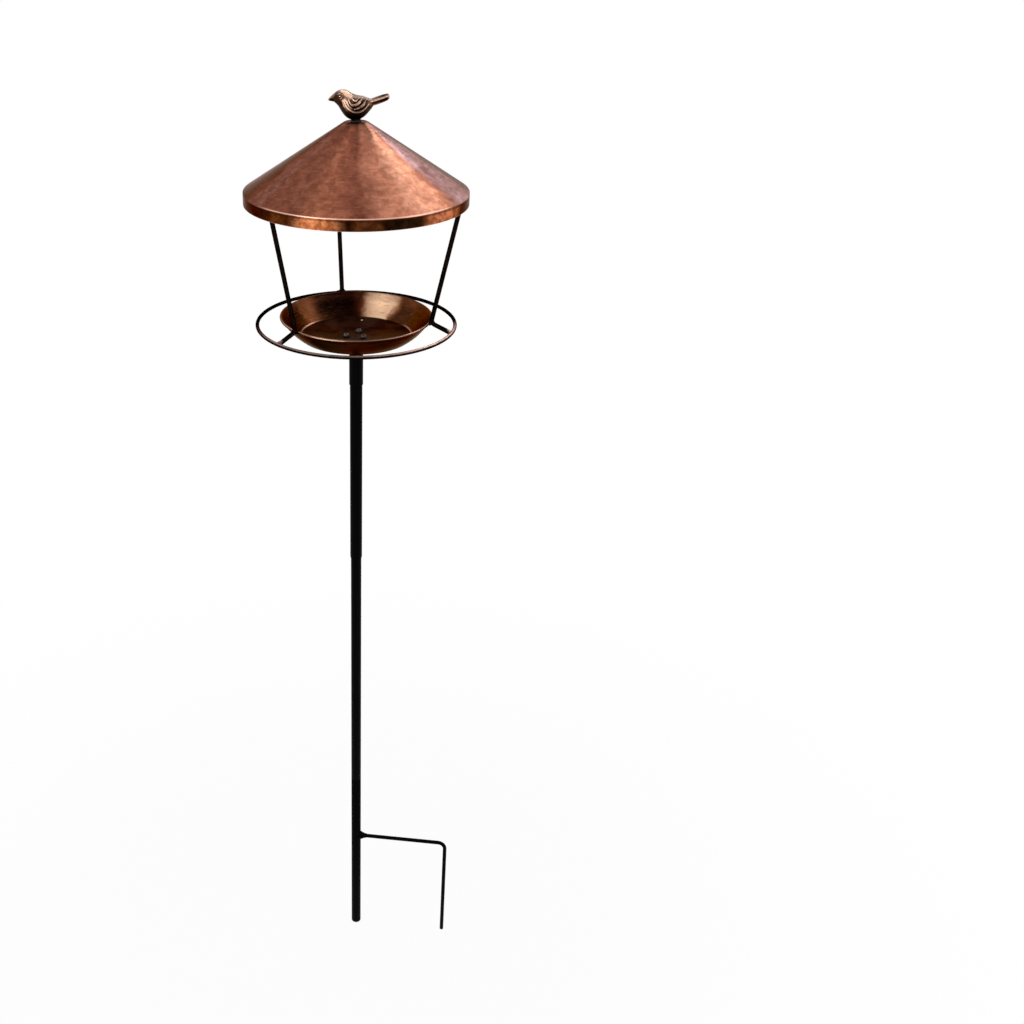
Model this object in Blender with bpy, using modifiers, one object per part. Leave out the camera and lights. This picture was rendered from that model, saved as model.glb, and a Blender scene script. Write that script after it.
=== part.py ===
"""A copper bird bath and feeder on a three-piece step-in pole, with a cast bird on its roof.

Metres, +Z up. The origin is the pole's lower end, on the pole's axis. The bird faces -X.
"""

import math

import bmesh
import bpy
from mathutils import Matrix, Vector

# Clearances
GAP = 0.0003          # between pieces that touch or slide in each other

# Pole: three tubes that push into each other, the thinnest at the bottom
LOWER_D = 0.0160      # outside of the stake
LOWER_WALL = 0.0007
LOWER_LENGTH = 0.3190  # from its open end to the shoulder that the middle tube rests on
NECK_D = 0.0142       # the swaged neck that goes up into the middle tube
NECK_LENGTH = 0.0450
SWAGE_LENGTH = 0.0020  # over which the bore narrows
SWAGE_DROP = 0.0010   # from the shoulder down to the narrow bore
MIDDLE_D = 0.0160
MIDDLE_LENGTH = 0.4790
MIDDLE_INSERT = 0.0480  # of the middle tube, inside the upper one
BEAD_OUT = 0.0007     # how far the stop bead stands out of the middle tube
BEAD_HEIGHT = 0.0040
UPPER_WALL = 0.0007
UPPER_LENGTH = 0.3532
EDGE = 0.0003         # chamfer on cut tube ends
CUT_PAST = 0.0100     # how far a cutter runs past what it cuts

# Plug in the stake's end
PLUG_HEAD = 0.0020
PLUG_STEM = 0.0120
PLUG_LEAD = 0.0015    # lead-in chamfer's height
PLUG_LEAD_IN = 0.0008
PLUG_ROUND = 0.0012

# Step-in prong
PRONG_D = 0.0064
PRONG_REACH = 0.1542  # pole axis to the prong's leg
PRONG_HEIGHT = 0.1980  # the arm's axis above the tip
PRONG_BEND = 0.0120
PRONG_TURN = -8.2     # degrees from +X
WELD_R = 0.0072       # the flared foot of the arm, where it meets the stake
WELD_OUT = 0.0075
WELD_THROAT = 0.0006  # how far the weld stands out of the arm at half its length

# Socket and flange under the dish
SOCKET_WALL = 0.0007
SOCKET_LENGTH = 0.0700
FLANGE_R = 0.0240
FLANGE_T = 0.0030

# Dish
DISH_R = 0.1078       # to the outside of the rolled rim
DISH_SHEET = 0.0010
DISH_DEPTH = 0.0272   # floor to the middle of the rolled rim
DISH_FLOOR_R = 0.0793
DISH_FILLET = 0.0040
DISH_BULGE = 0.0022   # of the sloping wall, outwards
RIM_R = 0.0025        # of the roll
RIM_END = -105.0      # degrees, where the roll ends
SEAT_R = 0.0260       # pressed seat for the screws in the floor
SEAT_DEPTH = 0.0010

# Dish screws, with a sealing washer above the floor and a nut below the flange
SCREW_COUNT = 3
SCREW_CIRCLE_R = 0.0146
SCREW_TURN = 75.0     # degrees, first screw
SCREW_D = 0.0040
SCREW_HEAD_D = 0.0080
SCREW_HEAD_H = 0.0026
SCREW_LENGTH = 0.0110
SEAL_D = 0.0100
SEAL_T = 0.0010
NUT_FLATS = 0.0070
NUT_H = 0.0032

# Perch ring
PERCH_R = 0.1382      # to the middle of the wire
PERCH_WIRE_D = 0.0052
PERCH_DROP = 0.0101   # below the middle of the rolled rim

# Rods from the roof to the dish rim and on to the perch ring
ROD_D = 0.0064
ROD_EDGE = 0.0054     # from the roof's edge in to the corner of a rod's upper bend
ROD_BEND = 0.0070
ROD_TAB = 0.0300      # the part that lies along the inside of the roof
ROD_FIRST = 101.0     # degrees, the rear rod
ROD_NAMES = ("rear", "left", "right")

# Roof
ROOF_R = 0.1515
ROOF_SHEET = 0.0010
ROOF_SLOPE = 33.3     # degrees
ROOF_BAND = 0.0160    # the upright band round the edge
ROOF_CLEAR = 0.1592   # from the middle of the dish's rim up to the band's lower edge
ROOF_CREASE = 0.0020  # radius between cone and band
ROOF_TOP_R = 0.0150   # where the slope would meet the flat on top
ROOF_TOP_BEND = 0.0080  # radius between the slope and the flat

# Bolt that holds the bird
BOLT_D = 0.0050
BOLT_LENGTH = 0.0160
BOLT_FLATS = 0.0080
BOLT_HEAD_H = 0.0035
WASHER_D = 0.0140
WASHER_T = 0.0012
GASKET_D = 0.0140
GASKET_T = 0.0008

# Bird
BIRD_LENGTH = 0.0805  # beak to tail
BIRD_HEIGHT = 0.0393
BIRD_WIDTH = 0.0275
FOOT_R = 0.0062
FOOT_H = 0.0050
BORE_DEPTH = 0.0160
EYE_R = 0.0012
BEAK_R = 0.0037
BEAK_TIP_R = 0.0006

# Roundness
SPIN = 52             # steps of the roof and the dish
TUBE_SPIN = 32
SMALL_SPIN = 20

# Heights, from the ground up
SHOULDER_Z = LOWER_LENGTH + PLUG_HEAD + GAP
MIDDLE_Z = SHOULDER_Z + GAP
BEAD_Z = MIDDLE_Z + MIDDLE_LENGTH - MIDDLE_INSERT - GAP
UPPER_Z = BEAD_Z + GAP
FLANGE_Z = UPPER_Z + UPPER_LENGTH + GAP
SEAT_Z = FLANGE_Z + FLANGE_T + GAP + DISH_SHEET
FLOOR_Z = SEAT_Z + SEAT_DEPTH
RIM_Z = FLOOR_Z + DISH_DEPTH
PERCH_Z = RIM_Z - PERCH_DROP
HEM_Z = RIM_Z + ROOF_CLEAR
CREASE_Z = HEM_Z + ROOF_BAND
SLOPE = math.radians(ROOF_SLOPE)
TOP_Z = CREASE_Z + (ROOF_R - ROOF_TOP_R) * math.tan(SLOPE)
BIRD_Z = TOP_Z + GAP + GASKET_T + GAP

# Tubes that fit in each other
UPPER_D = MIDDLE_D + 2 * (GAP + UPPER_WALL)
MIDDLE_BORE_D = NECK_D + 2 * GAP
SOCKET_BORE_D = UPPER_D + 2 * GAP
ROD_R = ROD_D / 2

# Shares of the bird's length, height and width: the top and the bottom of each section of its
# body, front to back, and the section's half width
BODY_SECTIONS = (
    (-0.375, 0.765, -0.372, 0.600, 0.110),
    (-0.336, 0.895, -0.350, 0.545, 0.210),
    (-0.242, 1.035, -0.314, 0.480, 0.320),
    (-0.146, 0.970, -0.278, 0.350, 0.385),
    (-0.075, 0.860, -0.212, 0.130, 0.475),
    (0.006, 0.810, -0.105, 0.005, 0.520),
    (0.084, 0.790, 0.040, 0.005, 0.510),
    (0.158, 0.745, 0.148, 0.120, 0.410),
    (0.227, 0.690, 0.230, 0.330, 0.275),
    (0.285, 0.690, 0.290, 0.470, 0.185),
)
# Middle of each tail section, with its half height and half width
TAIL_SECTIONS = (
    (0.180, 0.545, 0.120, 0.200),
    (0.300, 0.635, 0.105, 0.215),
    (0.430, 0.755, 0.098, 0.255),
    (0.515, 0.835, 0.092, 0.290),
    (0.541, 0.850, 0.060, 0.270),
)
# Middle of each wing section (along, across, up), with its half height and half thickness
WING_SECTIONS = (
    (-0.130, 0.365, 0.560, 0.050, 0.040),
    (-0.090, 0.435, 0.545, 0.180, 0.075),
    (0.000, 0.485, 0.510, 0.225, 0.085),
    (0.085, 0.450, 0.520, 0.180, 0.080),
    (0.165, 0.350, 0.570, 0.110, 0.070),
    (0.225, 0.265, 0.620, 0.040, 0.040),
)

for old in list(bpy.data.objects):
    bpy.data.objects.remove(old, do_unlink=True)

parts = bpy.data.collections.new("Bird_feeder_pole_with_birdbath")
cutters = bpy.data.collections.new("Cutters")
bpy.context.scene.collection.children.link(parts)
bpy.context.scene.collection.children.link(cutters)


def material(name, colour, metallic, roughness):
    made = bpy.data.materials.new(name)
    made.use_nodes = True
    shader = made.node_tree.nodes["Principled BSDF"]
    shader.inputs["Base Color"].default_value = (*colour, 1.0)
    shader.inputs["Metallic"].default_value = metallic
    shader.inputs["Roughness"].default_value = roughness
    made.diffuse_color = (*colour, 1.0)
    return made


COPPER = material("antique_copper", (0.52, 0.22, 0.12), 1.0, 0.34)
CAST = material("cast_copper", (0.40, 0.16, 0.09), 1.0, 0.42)
BLACK = material("black_powder_coat", (0.012, 0.011, 0.011), 0.0, 0.55)
BRONZE = material("dark_bronze", (0.060, 0.036, 0.026), 0.7, 0.42)
ZINC = material("zinc_steel", (0.34, 0.33, 0.32), 1.0, 0.40)
RUBBER = material("black_rubber", (0.015, 0.015, 0.015), 0.0, 0.80)
PLASTIC = material("black_plastic", (0.020, 0.020, 0.020), 0.0, 0.50)


def new_object(name, mesh, group=parts):
    made = bpy.data.objects.new(name, mesh)
    group.objects.link(made)
    if group is cutters:
        made.hide_render = True
        made.display_type = "WIRE"
    return made


def empty(name, height):
    made = bpy.data.objects.new(name, None)
    made.location = (0, 0, height)
    made.empty_display_size = 0.03
    parts.objects.link(made)
    return made


def place(piece, parent, at, look):
    """Parents a piece to an empty, with its origin at a point in the world, and gives it its material."""
    piece.parent = parent
    piece.location = Vector(at) - parent.location
    piece.data.materials.clear()
    piece.data.materials.append(look)
    return piece


def smooth(mesh, degrees=32):
    mesh.shade_smooth()
    mesh.set_sharp_from_angle(angle=math.radians(degrees))


def baked(piece, degrees=32):
    """The piece with its modifiers applied and its round faces shaded smooth."""
    graph = bpy.context.evaluated_depsgraph_get()
    mesh = bpy.data.meshes.new_from_object(piece.evaluated_get(graph))
    piece.modifiers.clear()
    piece.data = mesh
    smooth(mesh, degrees)
    return piece


def turned(name, profile, steps, closed=True, group=parts):
    """A profile of (radius, height) points, down its outer side, turned about the Z axis."""
    outline = bmesh.new()
    points = [outline.verts.new((radius, 0, height)) for radius, height in profile]
    pairs = list(zip(points, points[1:]))
    if closed:
        pairs.append((points[-1], points[0]))
    for pair in pairs:
        outline.edges.new(pair)
    mesh = bpy.data.meshes.new(name)
    outline.to_mesh(mesh)
    outline.free()
    made = new_object(name, mesh, group)
    screw = made.modifiers.new("Turn", "SCREW")
    screw.axis = "Z"
    screw.steps = steps
    screw.render_steps = steps
    screw.use_merge_vertices = True
    screw.merge_threshold = 0.00001
    screw.use_smooth_shade = True
    return made


def tube_profile(outer, inner, low, high):
    """A straight tube's closed profile, with chamfered ends."""
    return [
        (outer - EDGE, high),
        (outer, high - EDGE),
        (outer, low + EDGE),
        (outer - EDGE, low),
        (inner, low),
        (inner, high),
    ]


def arc(centre, radius, start, end, count):
    """Points along an arc in the radius-height plane, from one angle to another, both in degrees."""
    angles = [math.radians(start + (end - start) * k / count) for k in range(count + 1)]
    return [(centre[0] + radius * math.cos(a), centre[1] + radius * math.sin(a)) for a in angles]


def rounded_path(corners, radius, count=6):
    """Points of a wire that runs through the corners, each turned with one bend radius."""
    points = [corners[0]]
    for before, corner, after in zip(corners, corners[1:], corners[2:]):
        to_before = (before - corner).normalized()
        to_after = (after - corner).normalized()
        half = to_before.angle(to_after) / 2
        centre = corner + (to_before + to_after).normalized() * radius / math.sin(half)
        first = corner + to_before * radius / math.tan(half) - centre
        axis = first.cross(corner - centre).normalized()
        sweep = math.pi - 2 * half
        for k in range(count + 1):
            points.append(centre + Matrix.Rotation(sweep * k / count, 3, axis) @ first)
    points.append(corners[-1])
    return points


def wire(name, points, diameter, group=parts):
    """A round wire along the points, as a mesh with closed ends."""
    curve = bpy.data.curves.new(name, "CURVE")
    curve.dimensions = "3D"
    curve.bevel_depth = diameter / 2
    curve.bevel_resolution = 3
    curve.use_fill_caps = True
    spline = curve.splines.new("POLY")
    spline.points.add(len(points) - 1)
    for point, at in zip(spline.points, points):
        point.co = (*at, 1.0)
    guide = bpy.data.objects.new(name + "_curve", curve)
    cutters.objects.link(guide)
    bpy.context.view_layer.update()
    graph = bpy.context.evaluated_depsgraph_get()
    mesh = bpy.data.meshes.new_from_object(guide.evaluated_get(graph))
    mesh.name = name
    bpy.data.objects.remove(guide)
    weld = bmesh.new()
    weld.from_mesh(mesh)
    bmesh.ops.remove_doubles(weld, verts=weld.verts, dist=0.000005)
    bmesh.ops.recalc_face_normals(weld, faces=weld.faces)
    weld.to_mesh(mesh)
    weld.free()
    return new_object(name, mesh, group)


def cylinder(name, radius, low, high, at=(0, 0), steps=SMALL_SPIN, group=cutters):
    """An upright cylinder between two heights."""
    solid = bmesh.new()
    bmesh.ops.create_cone(
        solid,
        cap_ends=True,
        segments=steps,
        radius1=radius,
        radius2=radius,
        depth=high - low,
        matrix=Matrix.Translation((*at, (low + high) / 2)),
    )
    mesh = bpy.data.meshes.new(name)
    solid.to_mesh(mesh)
    solid.free()
    return new_object(name, mesh, group)


def boolean(piece, other, operation):
    change = piece.modifiers.new(operation.title() + "_" + other.name, "BOOLEAN")
    change.operation = operation
    change.object = other
    change.solver = "EXACT"


def round_the(circle_r, turn, count):
    """Evenly spaced points on a circle about the axis."""
    angles = [math.radians(turn + 360 * k / count) for k in range(count)]
    return [(circle_r * math.cos(a), circle_r * math.sin(a)) for a in angles]


def loft(name, rings, sides, levels, group=cutters):
    """A soft closed form through elliptical rings, each a (middle, half width, half height) vector set."""
    shell = bmesh.new()
    loops = []
    for index, (middle, across, up) in enumerate(rings):
        frame = Matrix.Identity(4)
        frame.col[0][:3] = across
        frame.col[1][:3] = up
        frame.col[2][:3] = across.cross(up).normalized()
        frame.translation = middle
        ends = index in (0, len(rings) - 1)
        ring = bmesh.ops.create_circle(shell, cap_ends=ends, radius=1, segments=sides, matrix=frame)
        loops.append([e for e in shell.edges if e.verts[0] in ring["verts"] and e.verts[1] in ring["verts"]])
    for first, second in zip(loops, loops[1:]):
        bmesh.ops.bridge_loops(shell, edges=first + second)
    bmesh.ops.recalc_face_normals(shell, faces=shell.faces)
    mesh = bpy.data.meshes.new(name)
    shell.to_mesh(mesh)
    shell.free()
    made = new_object(name, mesh, group)
    soften = made.modifiers.new("Soften", "SUBSURF")
    soften.levels = levels
    soften.render_levels = levels
    return made


ground = empty("stake_body", 0)
middle_body = empty("middle_body", SHOULDER_Z)
upper_body = empty("upper_body", UPPER_Z)
head_body = empty("head_body", FLANGE_Z)

# The stake: a tube with a swaged neck, and a shoulder for the tube above
lower_r = LOWER_D / 2
lower_bore = lower_r - LOWER_WALL
neck_r = NECK_D / 2
neck_bore = neck_r - LOWER_WALL
low = PLUG_HEAD + GAP
neck_top = SHOULDER_Z + NECK_LENGTH
pole_lower = turned(
    "pole_lower",
    [
        (neck_r - EDGE, neck_top),
        (neck_r, neck_top - EDGE),
        (neck_r, SHOULDER_Z),
        (lower_r - EDGE, SHOULDER_Z),
        (lower_r, SHOULDER_Z - EDGE),
        (lower_r, low + EDGE),
        (lower_r - EDGE, low),
        (lower_bore, low),
        (lower_bore, SHOULDER_Z - SWAGE_DROP - SWAGE_LENGTH),
        (neck_bore, SHOULDER_Z - SWAGE_DROP),
        (neck_bore, neck_top),
    ],
    TUBE_SPIN,
)
place(pole_lower, ground, (0, 0, 0), BLACK)

# The plug in its end, with a flat face that meets the ground
stem_r = lower_bore - GAP
plug = turned(
    "pole_end_plug",
    [
        (0, low + PLUG_STEM),
        (stem_r - PLUG_LEAD_IN, low + PLUG_STEM),
        (stem_r, low + PLUG_STEM - PLUG_LEAD),
        (stem_r, PLUG_HEAD),
        (lower_r, PLUG_HEAD),
        (lower_r, PLUG_ROUND),
        (lower_r - PLUG_ROUND * 0.3, PLUG_ROUND * 0.3),
        (lower_r - PLUG_ROUND, 0),
        (0, 0),
    ],
    TUBE_SPIN,
    closed=False,
)
place(plug, ground, (0, 0, 0), PLASTIC)

# The middle tube, with a bead that carries the upper tube
middle_r = MIDDLE_D / 2
middle_top = MIDDLE_Z + MIDDLE_LENGTH
bead_r = middle_r + BEAD_OUT
pole_middle = turned(
    "pole_middle",
    [
        (middle_r - EDGE, middle_top),
        (middle_r, middle_top - EDGE),
        (middle_r, BEAD_Z),
        (bead_r, BEAD_Z),
        (bead_r, BEAD_Z - BEAD_HEIGHT * 0.5),
        (middle_r, BEAD_Z - BEAD_HEIGHT),
        (middle_r, MIDDLE_Z + EDGE),
        (middle_r - EDGE, MIDDLE_Z),
        (MIDDLE_BORE_D / 2, MIDDLE_Z),
        (MIDDLE_BORE_D / 2, middle_top),
    ],
    TUBE_SPIN,
)
place(pole_middle, middle_body, (0, 0, 0), BLACK)

# The upper tube
upper_r = UPPER_D / 2
upper_top = UPPER_Z + UPPER_LENGTH
pole_upper = turned(
    "pole_upper",
    tube_profile(upper_r, upper_r - UPPER_WALL, UPPER_Z, upper_top),
    TUBE_SPIN,
)
place(pole_upper, upper_body, (0, 0, 0), BLACK)

# The prong: a bent rod whose flared end is welded to the stake
turn = Matrix.Rotation(math.radians(PRONG_TURN), 3, "Z")
arm_start = Vector((lower_r * 0.5, 0, PRONG_HEIGHT))
prong_corners = [
    turn @ arm_start,
    turn @ Vector((PRONG_REACH, 0, PRONG_HEIGHT)),
    turn @ Vector((PRONG_REACH, 0, 0)),
]
prong = wire("prong", rounded_path(prong_corners, PRONG_BEND), PRONG_D)
weld_bead = turned(
    "Weld_bead",
    [
        (0, lower_r + WELD_OUT),
        (PRONG_D / 2 - WELD_THROAT, lower_r + WELD_OUT),
        (PRONG_D / 2 + WELD_THROAT, lower_r + WELD_OUT * 0.55),
        (WELD_R * 0.75, lower_r + WELD_OUT * 0.18),
        (WELD_R, lower_r - WELD_THROAT),
        (WELD_R, lower_r * 0.25),
        (0, lower_r * 0.25),
    ],
    TUBE_SPIN,
    closed=False,
    group=cutters,
)
weld_bead.rotation_euler = (0, math.radians(90), math.radians(PRONG_TURN))
weld_bead.location = (0, 0, PRONG_HEIGHT)
core_reach = WELD_R + CUT_PAST
stake_core = cylinder(
    "Stake_core",
    lower_r + GAP,
    PRONG_HEIGHT - core_reach,
    PRONG_HEIGHT + core_reach,
    steps=TUBE_SPIN * 2,
)
boolean(prong, weld_bead, "UNION")
boolean(prong, stake_core, "DIFFERENCE")
place(baked(prong), ground, (0, 0, 0), BLACK)

# The flange under the dish, in one piece with the socket that slips over the upper tube
socket_bore = SOCKET_BORE_D / 2
socket_r = socket_bore + SOCKET_WALL
flange_top = FLANGE_Z + FLANGE_T
socket_low = FLANGE_Z - SOCKET_LENGTH
flange = turned(
    "flange_socket",
    [
        (0, flange_top),
        (FLANGE_R - EDGE, flange_top),
        (FLANGE_R, flange_top - EDGE),
        (FLANGE_R, FLANGE_Z + EDGE),
        (FLANGE_R - EDGE, FLANGE_Z),
        (socket_r, FLANGE_Z),
        (socket_r, socket_low + EDGE),
        (socket_r - EDGE, socket_low),
        (socket_bore, socket_low),
        (socket_bore, FLANGE_Z),
        (0, FLANGE_Z),
    ],
    TUBE_SPIN,
    closed=False,
)

# The dish: its underside from the end of the rolled rim to the middle of the floor
wall_r = RIM_R - DISH_SHEET
rim_middle = (DISH_R - RIM_R, RIM_Z)
under_z = FLOOR_Z - DISH_SHEET
# The wall's underside is the line that touches both the roll and the fillet at the floor
fillet_r = DISH_FILLET + DISH_SHEET
fillet_middle = (DISH_FLOOR_R - DISH_FILLET, under_z + fillet_r)
run = rim_middle[0] - fillet_middle[0]
rise = rim_middle[1] - fillet_middle[1]
distance = math.hypot(run, rise)
wall_angle = math.degrees(math.atan2(rise, run) + math.asin((wall_r + fillet_r) / distance))
dish_profile = arc(rim_middle, wall_r, RIM_END, wall_angle + 90, 7)
fillet = arc(fillet_middle, fillet_r, wall_angle - 90, -90, 3)
wall_top, wall_foot = Vector(dish_profile[-1]), Vector(fillet[0])
out = Vector((wall_top.y - wall_foot.y, wall_foot.x - wall_top.x)).normalized()
for share in (0.25, 0.5, 0.75):
    bulge = DISH_BULGE * 4 * share * (1 - share)
    dish_profile.append(tuple(wall_top.lerp(wall_foot, share) + out * bulge))
dish_profile += fillet
dish_profile += [
    (SEAT_R + SEAT_DEPTH, under_z),
    (SEAT_R, under_z - SEAT_DEPTH),
    (0, under_z - SEAT_DEPTH),
]
dish = turned("dish", dish_profile, SPIN, closed=False)
wall = dish.modifiers.new("Sheet", "SOLIDIFY")
wall.thickness = DISH_SHEET
wall.offset = -1
wall.use_even_offset = True

# Screws through washer, dish and flange into their nuts
hole_r = SCREW_D / 2 + GAP
head_low = SEAT_Z + GAP + SEAL_T + GAP
shank_r = SCREW_D / 2
head_r = SCREW_HEAD_D / 2
for index, at in enumerate(round_the(SCREW_CIRCLE_R, SCREW_TURN, SCREW_COUNT), 1):
    drill = cylinder("Drill_%d" % index, hole_r, FLANGE_Z - CUT_PAST, SEAT_Z + CUT_PAST, at)
    boolean(dish, drill, "DIFFERENCE")
    boolean(flange, drill, "DIFFERENCE")
    screw = turned(
        "dish_screw_%d" % index,
        [
            (0, SCREW_HEAD_H),
            (head_r * 0.45, SCREW_HEAD_H * 0.96),
            (head_r * 0.80, SCREW_HEAD_H * 0.72),
            (head_r, SCREW_HEAD_H * 0.32),
            (head_r, 0),
            (shank_r, 0),
            (shank_r, -SCREW_LENGTH + EDGE),
            (shank_r - EDGE, -SCREW_LENGTH),
            (0, -SCREW_LENGTH),
        ],
        SMALL_SPIN,
        closed=False,
    )
    place(baked(screw), head_body, (*at, head_low), ZINC)
    seal = turned(
        "seal_washer_%d" % index,
        [(SEAL_D / 2, SEAL_T), (SEAL_D / 2, 0), (hole_r, 0), (hole_r, SEAL_T)],
        SMALL_SPIN,
    )
    place(baked(seal), head_body, (*at, SEAT_Z + GAP), RUBBER)
    nut_top = FLANGE_Z - GAP
    nut_r = NUT_FLATS / math.sqrt(3)
    nut = cylinder("dish_nut_%d" % index, nut_r, -NUT_H, 0, steps=6, group=parts)
    tap = cylinder("Tap_%d" % index, hole_r, nut_top - NUT_H - CUT_PAST, nut_top + CUT_PAST, at)
    nut.location = (*at, nut_top)
    nut.rotation_euler = (0, 0, math.atan2(at[1], at[0]) + math.radians(30))
    boolean(nut, tap, "DIFFERENCE")
    place(baked(nut, 25), head_body, (*at, nut_top), ZINC)
place(baked(flange), head_body, (0, 0, 0), BLACK)
place(baked(dish), head_body, (0, 0, 0), COPPER)

# The perch ring
bpy.ops.mesh.primitive_torus_add(
    major_radius=PERCH_R,
    minor_radius=PERCH_WIRE_D / 2,
    major_segments=64,
    minor_segments=8,
    location=(0, 0, PERCH_Z),
)
perch = bpy.context.object
perch.name = "perch_ring"
perch.data.name = "perch_ring"
for home in list(perch.users_collection):
    home.objects.unlink(perch)
parts.objects.link(perch)
smooth(perch.data)
place(perch, head_body, (0, 0, PERCH_Z), BRONZE)

# The rods. In the radius-height plane, each touches the rolled rim at its lower bend, lies along
# the inside of the cone above, and ends against the perch ring's wire
rim_point = Vector((rim_middle[0], 0, RIM_Z))
perch_point = Vector((PERCH_R, 0, PERCH_Z))
touch = RIM_R + GAP + ROD_R
inset = ROOF_SHEET + GAP + ROD_R
along_cone = Vector((-math.cos(SLOPE), 0, math.sin(SLOPE)))
cone_start = Vector((ROOF_R, 0, CREASE_Z)) - inset * Vector((math.sin(SLOPE), 0, math.cos(SLOPE)))
shoulder = cone_start + along_cone * (cone_start.x - (ROOF_R - ROD_EDGE)) / math.cos(SLOPE)


def lower_corner(up_dir, spoke_dir):
    """The corner of the lower bend whose inside just clears the rim."""
    half = up_dir.angle(spoke_dir) / 2
    middle = (up_dir + spoke_dir).normalized()
    return rim_point + middle * (touch - ROD_BEND / math.sin(half) + ROD_BEND)


knee = rim_point + Vector((touch, 0, 0))
for _ in range(20):
    spoke = (perch_point - knee).normalized()
    knee = lower_corner((shoulder - knee).normalized(), spoke)
rod_corners = [
    shoulder + along_cone * ROD_TAB,
    shoulder,
    knee,
    perch_point - spoke * (PERCH_WIRE_D / 2 + GAP),
]
rod_points = rounded_path(rod_corners, ROD_BEND)
for index, side in enumerate(ROD_NAMES):
    spin = Matrix.Rotation(math.radians(ROD_FIRST + index * 360 / len(ROD_NAMES)), 3, "Z")
    rod = wire("leg_rod_" + side, [spin @ p for p in rod_points], ROD_D)
    smooth(rod.data)
    place(rod, head_body, (0, 0, 0), BRONZE)

# The roof: a cone with a flat top, a soft crease and an upright band
bolt_hole = BOLT_D / 2 + GAP
half_turn = ROOF_TOP_BEND * math.tan(SLOPE / 2)
crease_turn = (math.pi / 2 - SLOPE) / 2
crease_cut = ROOF_CREASE * math.tan(crease_turn)
roof_profile = [(bolt_hole, TOP_Z)]
roof_profile += arc(
    (ROOF_TOP_R - half_turn, TOP_Z - ROOF_TOP_BEND), ROOF_TOP_BEND, 90, 90 - ROOF_SLOPE, 4
)
roof_profile += arc(
    (ROOF_R - ROOF_CREASE, CREASE_Z - crease_cut), ROOF_CREASE, 90 - ROOF_SLOPE, 0, 4
)
roof_profile.append((ROOF_R, HEM_Z))
roof = turned("roof", roof_profile, SPIN, closed=False)
sheet = roof.modifiers.new("Sheet", "SOLIDIFY")
sheet.thickness = ROOF_SHEET
sheet.offset = -1
sheet.use_even_offset = True
place(baked(roof), head_body, (0, 0, 0), COPPER)

# The bolt from inside the roof, with its washer, and a gasket under the bird
gasket = turned(
    "finial_gasket",
    [
        (GASKET_D / 2, GASKET_T),
        (GASKET_D / 2, 0),
        (bolt_hole, 0),
        (bolt_hole, GASKET_T),
    ],
    SMALL_SPIN,
)
place(baked(gasket), head_body, (0, 0, TOP_Z + GAP), RUBBER)
washer_z = TOP_Z - ROOF_SHEET - GAP - WASHER_T
washer = turned(
    "finial_washer",
    [
        (WASHER_D / 2, WASHER_T),
        (WASHER_D / 2, 0),
        (bolt_hole, 0),
        (bolt_hole, WASHER_T),
    ],
    SMALL_SPIN,
)
place(baked(washer), head_body, (0, 0, washer_z), ZINC)
bolt_z = washer_z - GAP
bolt = cylinder("finial_bolt", BOLT_FLATS / math.sqrt(3), -BOLT_HEAD_H, 0, steps=6, group=parts)
bolt.location = (0, 0, bolt_z)
shank = cylinder("Bolt_shank", BOLT_D / 2, bolt_z - BOLT_HEAD_H / 2, bolt_z + BOLT_LENGTH)
boolean(bolt, shank, "UNION")
place(baked(bolt, 25), head_body, (0, 0, bolt_z), ZINC)


# The bird, about the bolt's axis
def bird_point(along, across, up):
    return Vector((along * BIRD_LENGTH, across * BIRD_WIDTH, BIRD_Z + up * BIRD_HEIGHT))


body_rings = []
for top_x, top_z, low_x, low_z, half_width in BODY_SECTIONS:
    top = bird_point(top_x, 0, top_z)
    bottom = bird_point(low_x, 0, low_z)
    across = Vector((0, half_width * BIRD_WIDTH, 0))
    body_rings.append(((top + bottom) / 2, across, (top - bottom) / 2))
bird = loft("bird_finial", body_rings, 12, 1, group=parts)
tail_rings = []
for along, up, half_height, half_width in TAIL_SECTIONS:
    rise = Vector((-0.22, 0, 1)) * half_height * BIRD_HEIGHT
    tail_rings.append((bird_point(along, 0, up), Vector((0, half_width * BIRD_WIDTH, 0)), rise))
tail = loft("Tail", tail_rings, 8, 1)
boolean(bird, tail, "UNION")
for side in (-1, 1):
    wing_rings = []
    for along, across, up, half_height, half_thick in WING_SECTIONS:
        height = Vector((0.20, 0, 1)) * half_height * BIRD_HEIGHT
        thick = Vector((0, half_thick * BIRD_WIDTH, 0))
        wing_rings.append((bird_point(along, side * across, up), thick, height))
    boolean(bird, loft("Wing_%d" % side, wing_rings, 8, 1), "UNION")
    eye_mesh = bpy.data.meshes.new("Eye_%d" % side)
    eye = bmesh.new()
    bmesh.ops.create_uvsphere(eye, u_segments=8, v_segments=6, radius=EYE_R)
    eye.to_mesh(eye_mesh)
    eye.free()
    eye = new_object("Eye_%d" % side, eye_mesh, cutters)
    eye.location = bird_point(-0.262, side * 0.280, 0.760)
    boolean(bird, eye, "UNION")
beak_back = bird_point(-0.345, 0, 0.675)
beak_tip = bird_point(-0.4584, 0, 0.625)
beak_mesh = bpy.data.meshes.new("Beak")
beak = bmesh.new()
beak_way = beak_tip - beak_back
bmesh.ops.create_cone(
    beak,
    cap_ends=True,
    segments=10,
    radius1=BEAK_R,
    radius2=BEAK_TIP_R,
    depth=beak_way.length,
)
beak.to_mesh(beak_mesh)
beak.free()
beak = new_object("Beak", beak_mesh, cutters)
beak.location = (beak_back + beak_tip) / 2
beak.rotation_euler = beak_way.to_track_quat("Z", "Y").to_euler()
boolean(bird, beak, "UNION")
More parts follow.
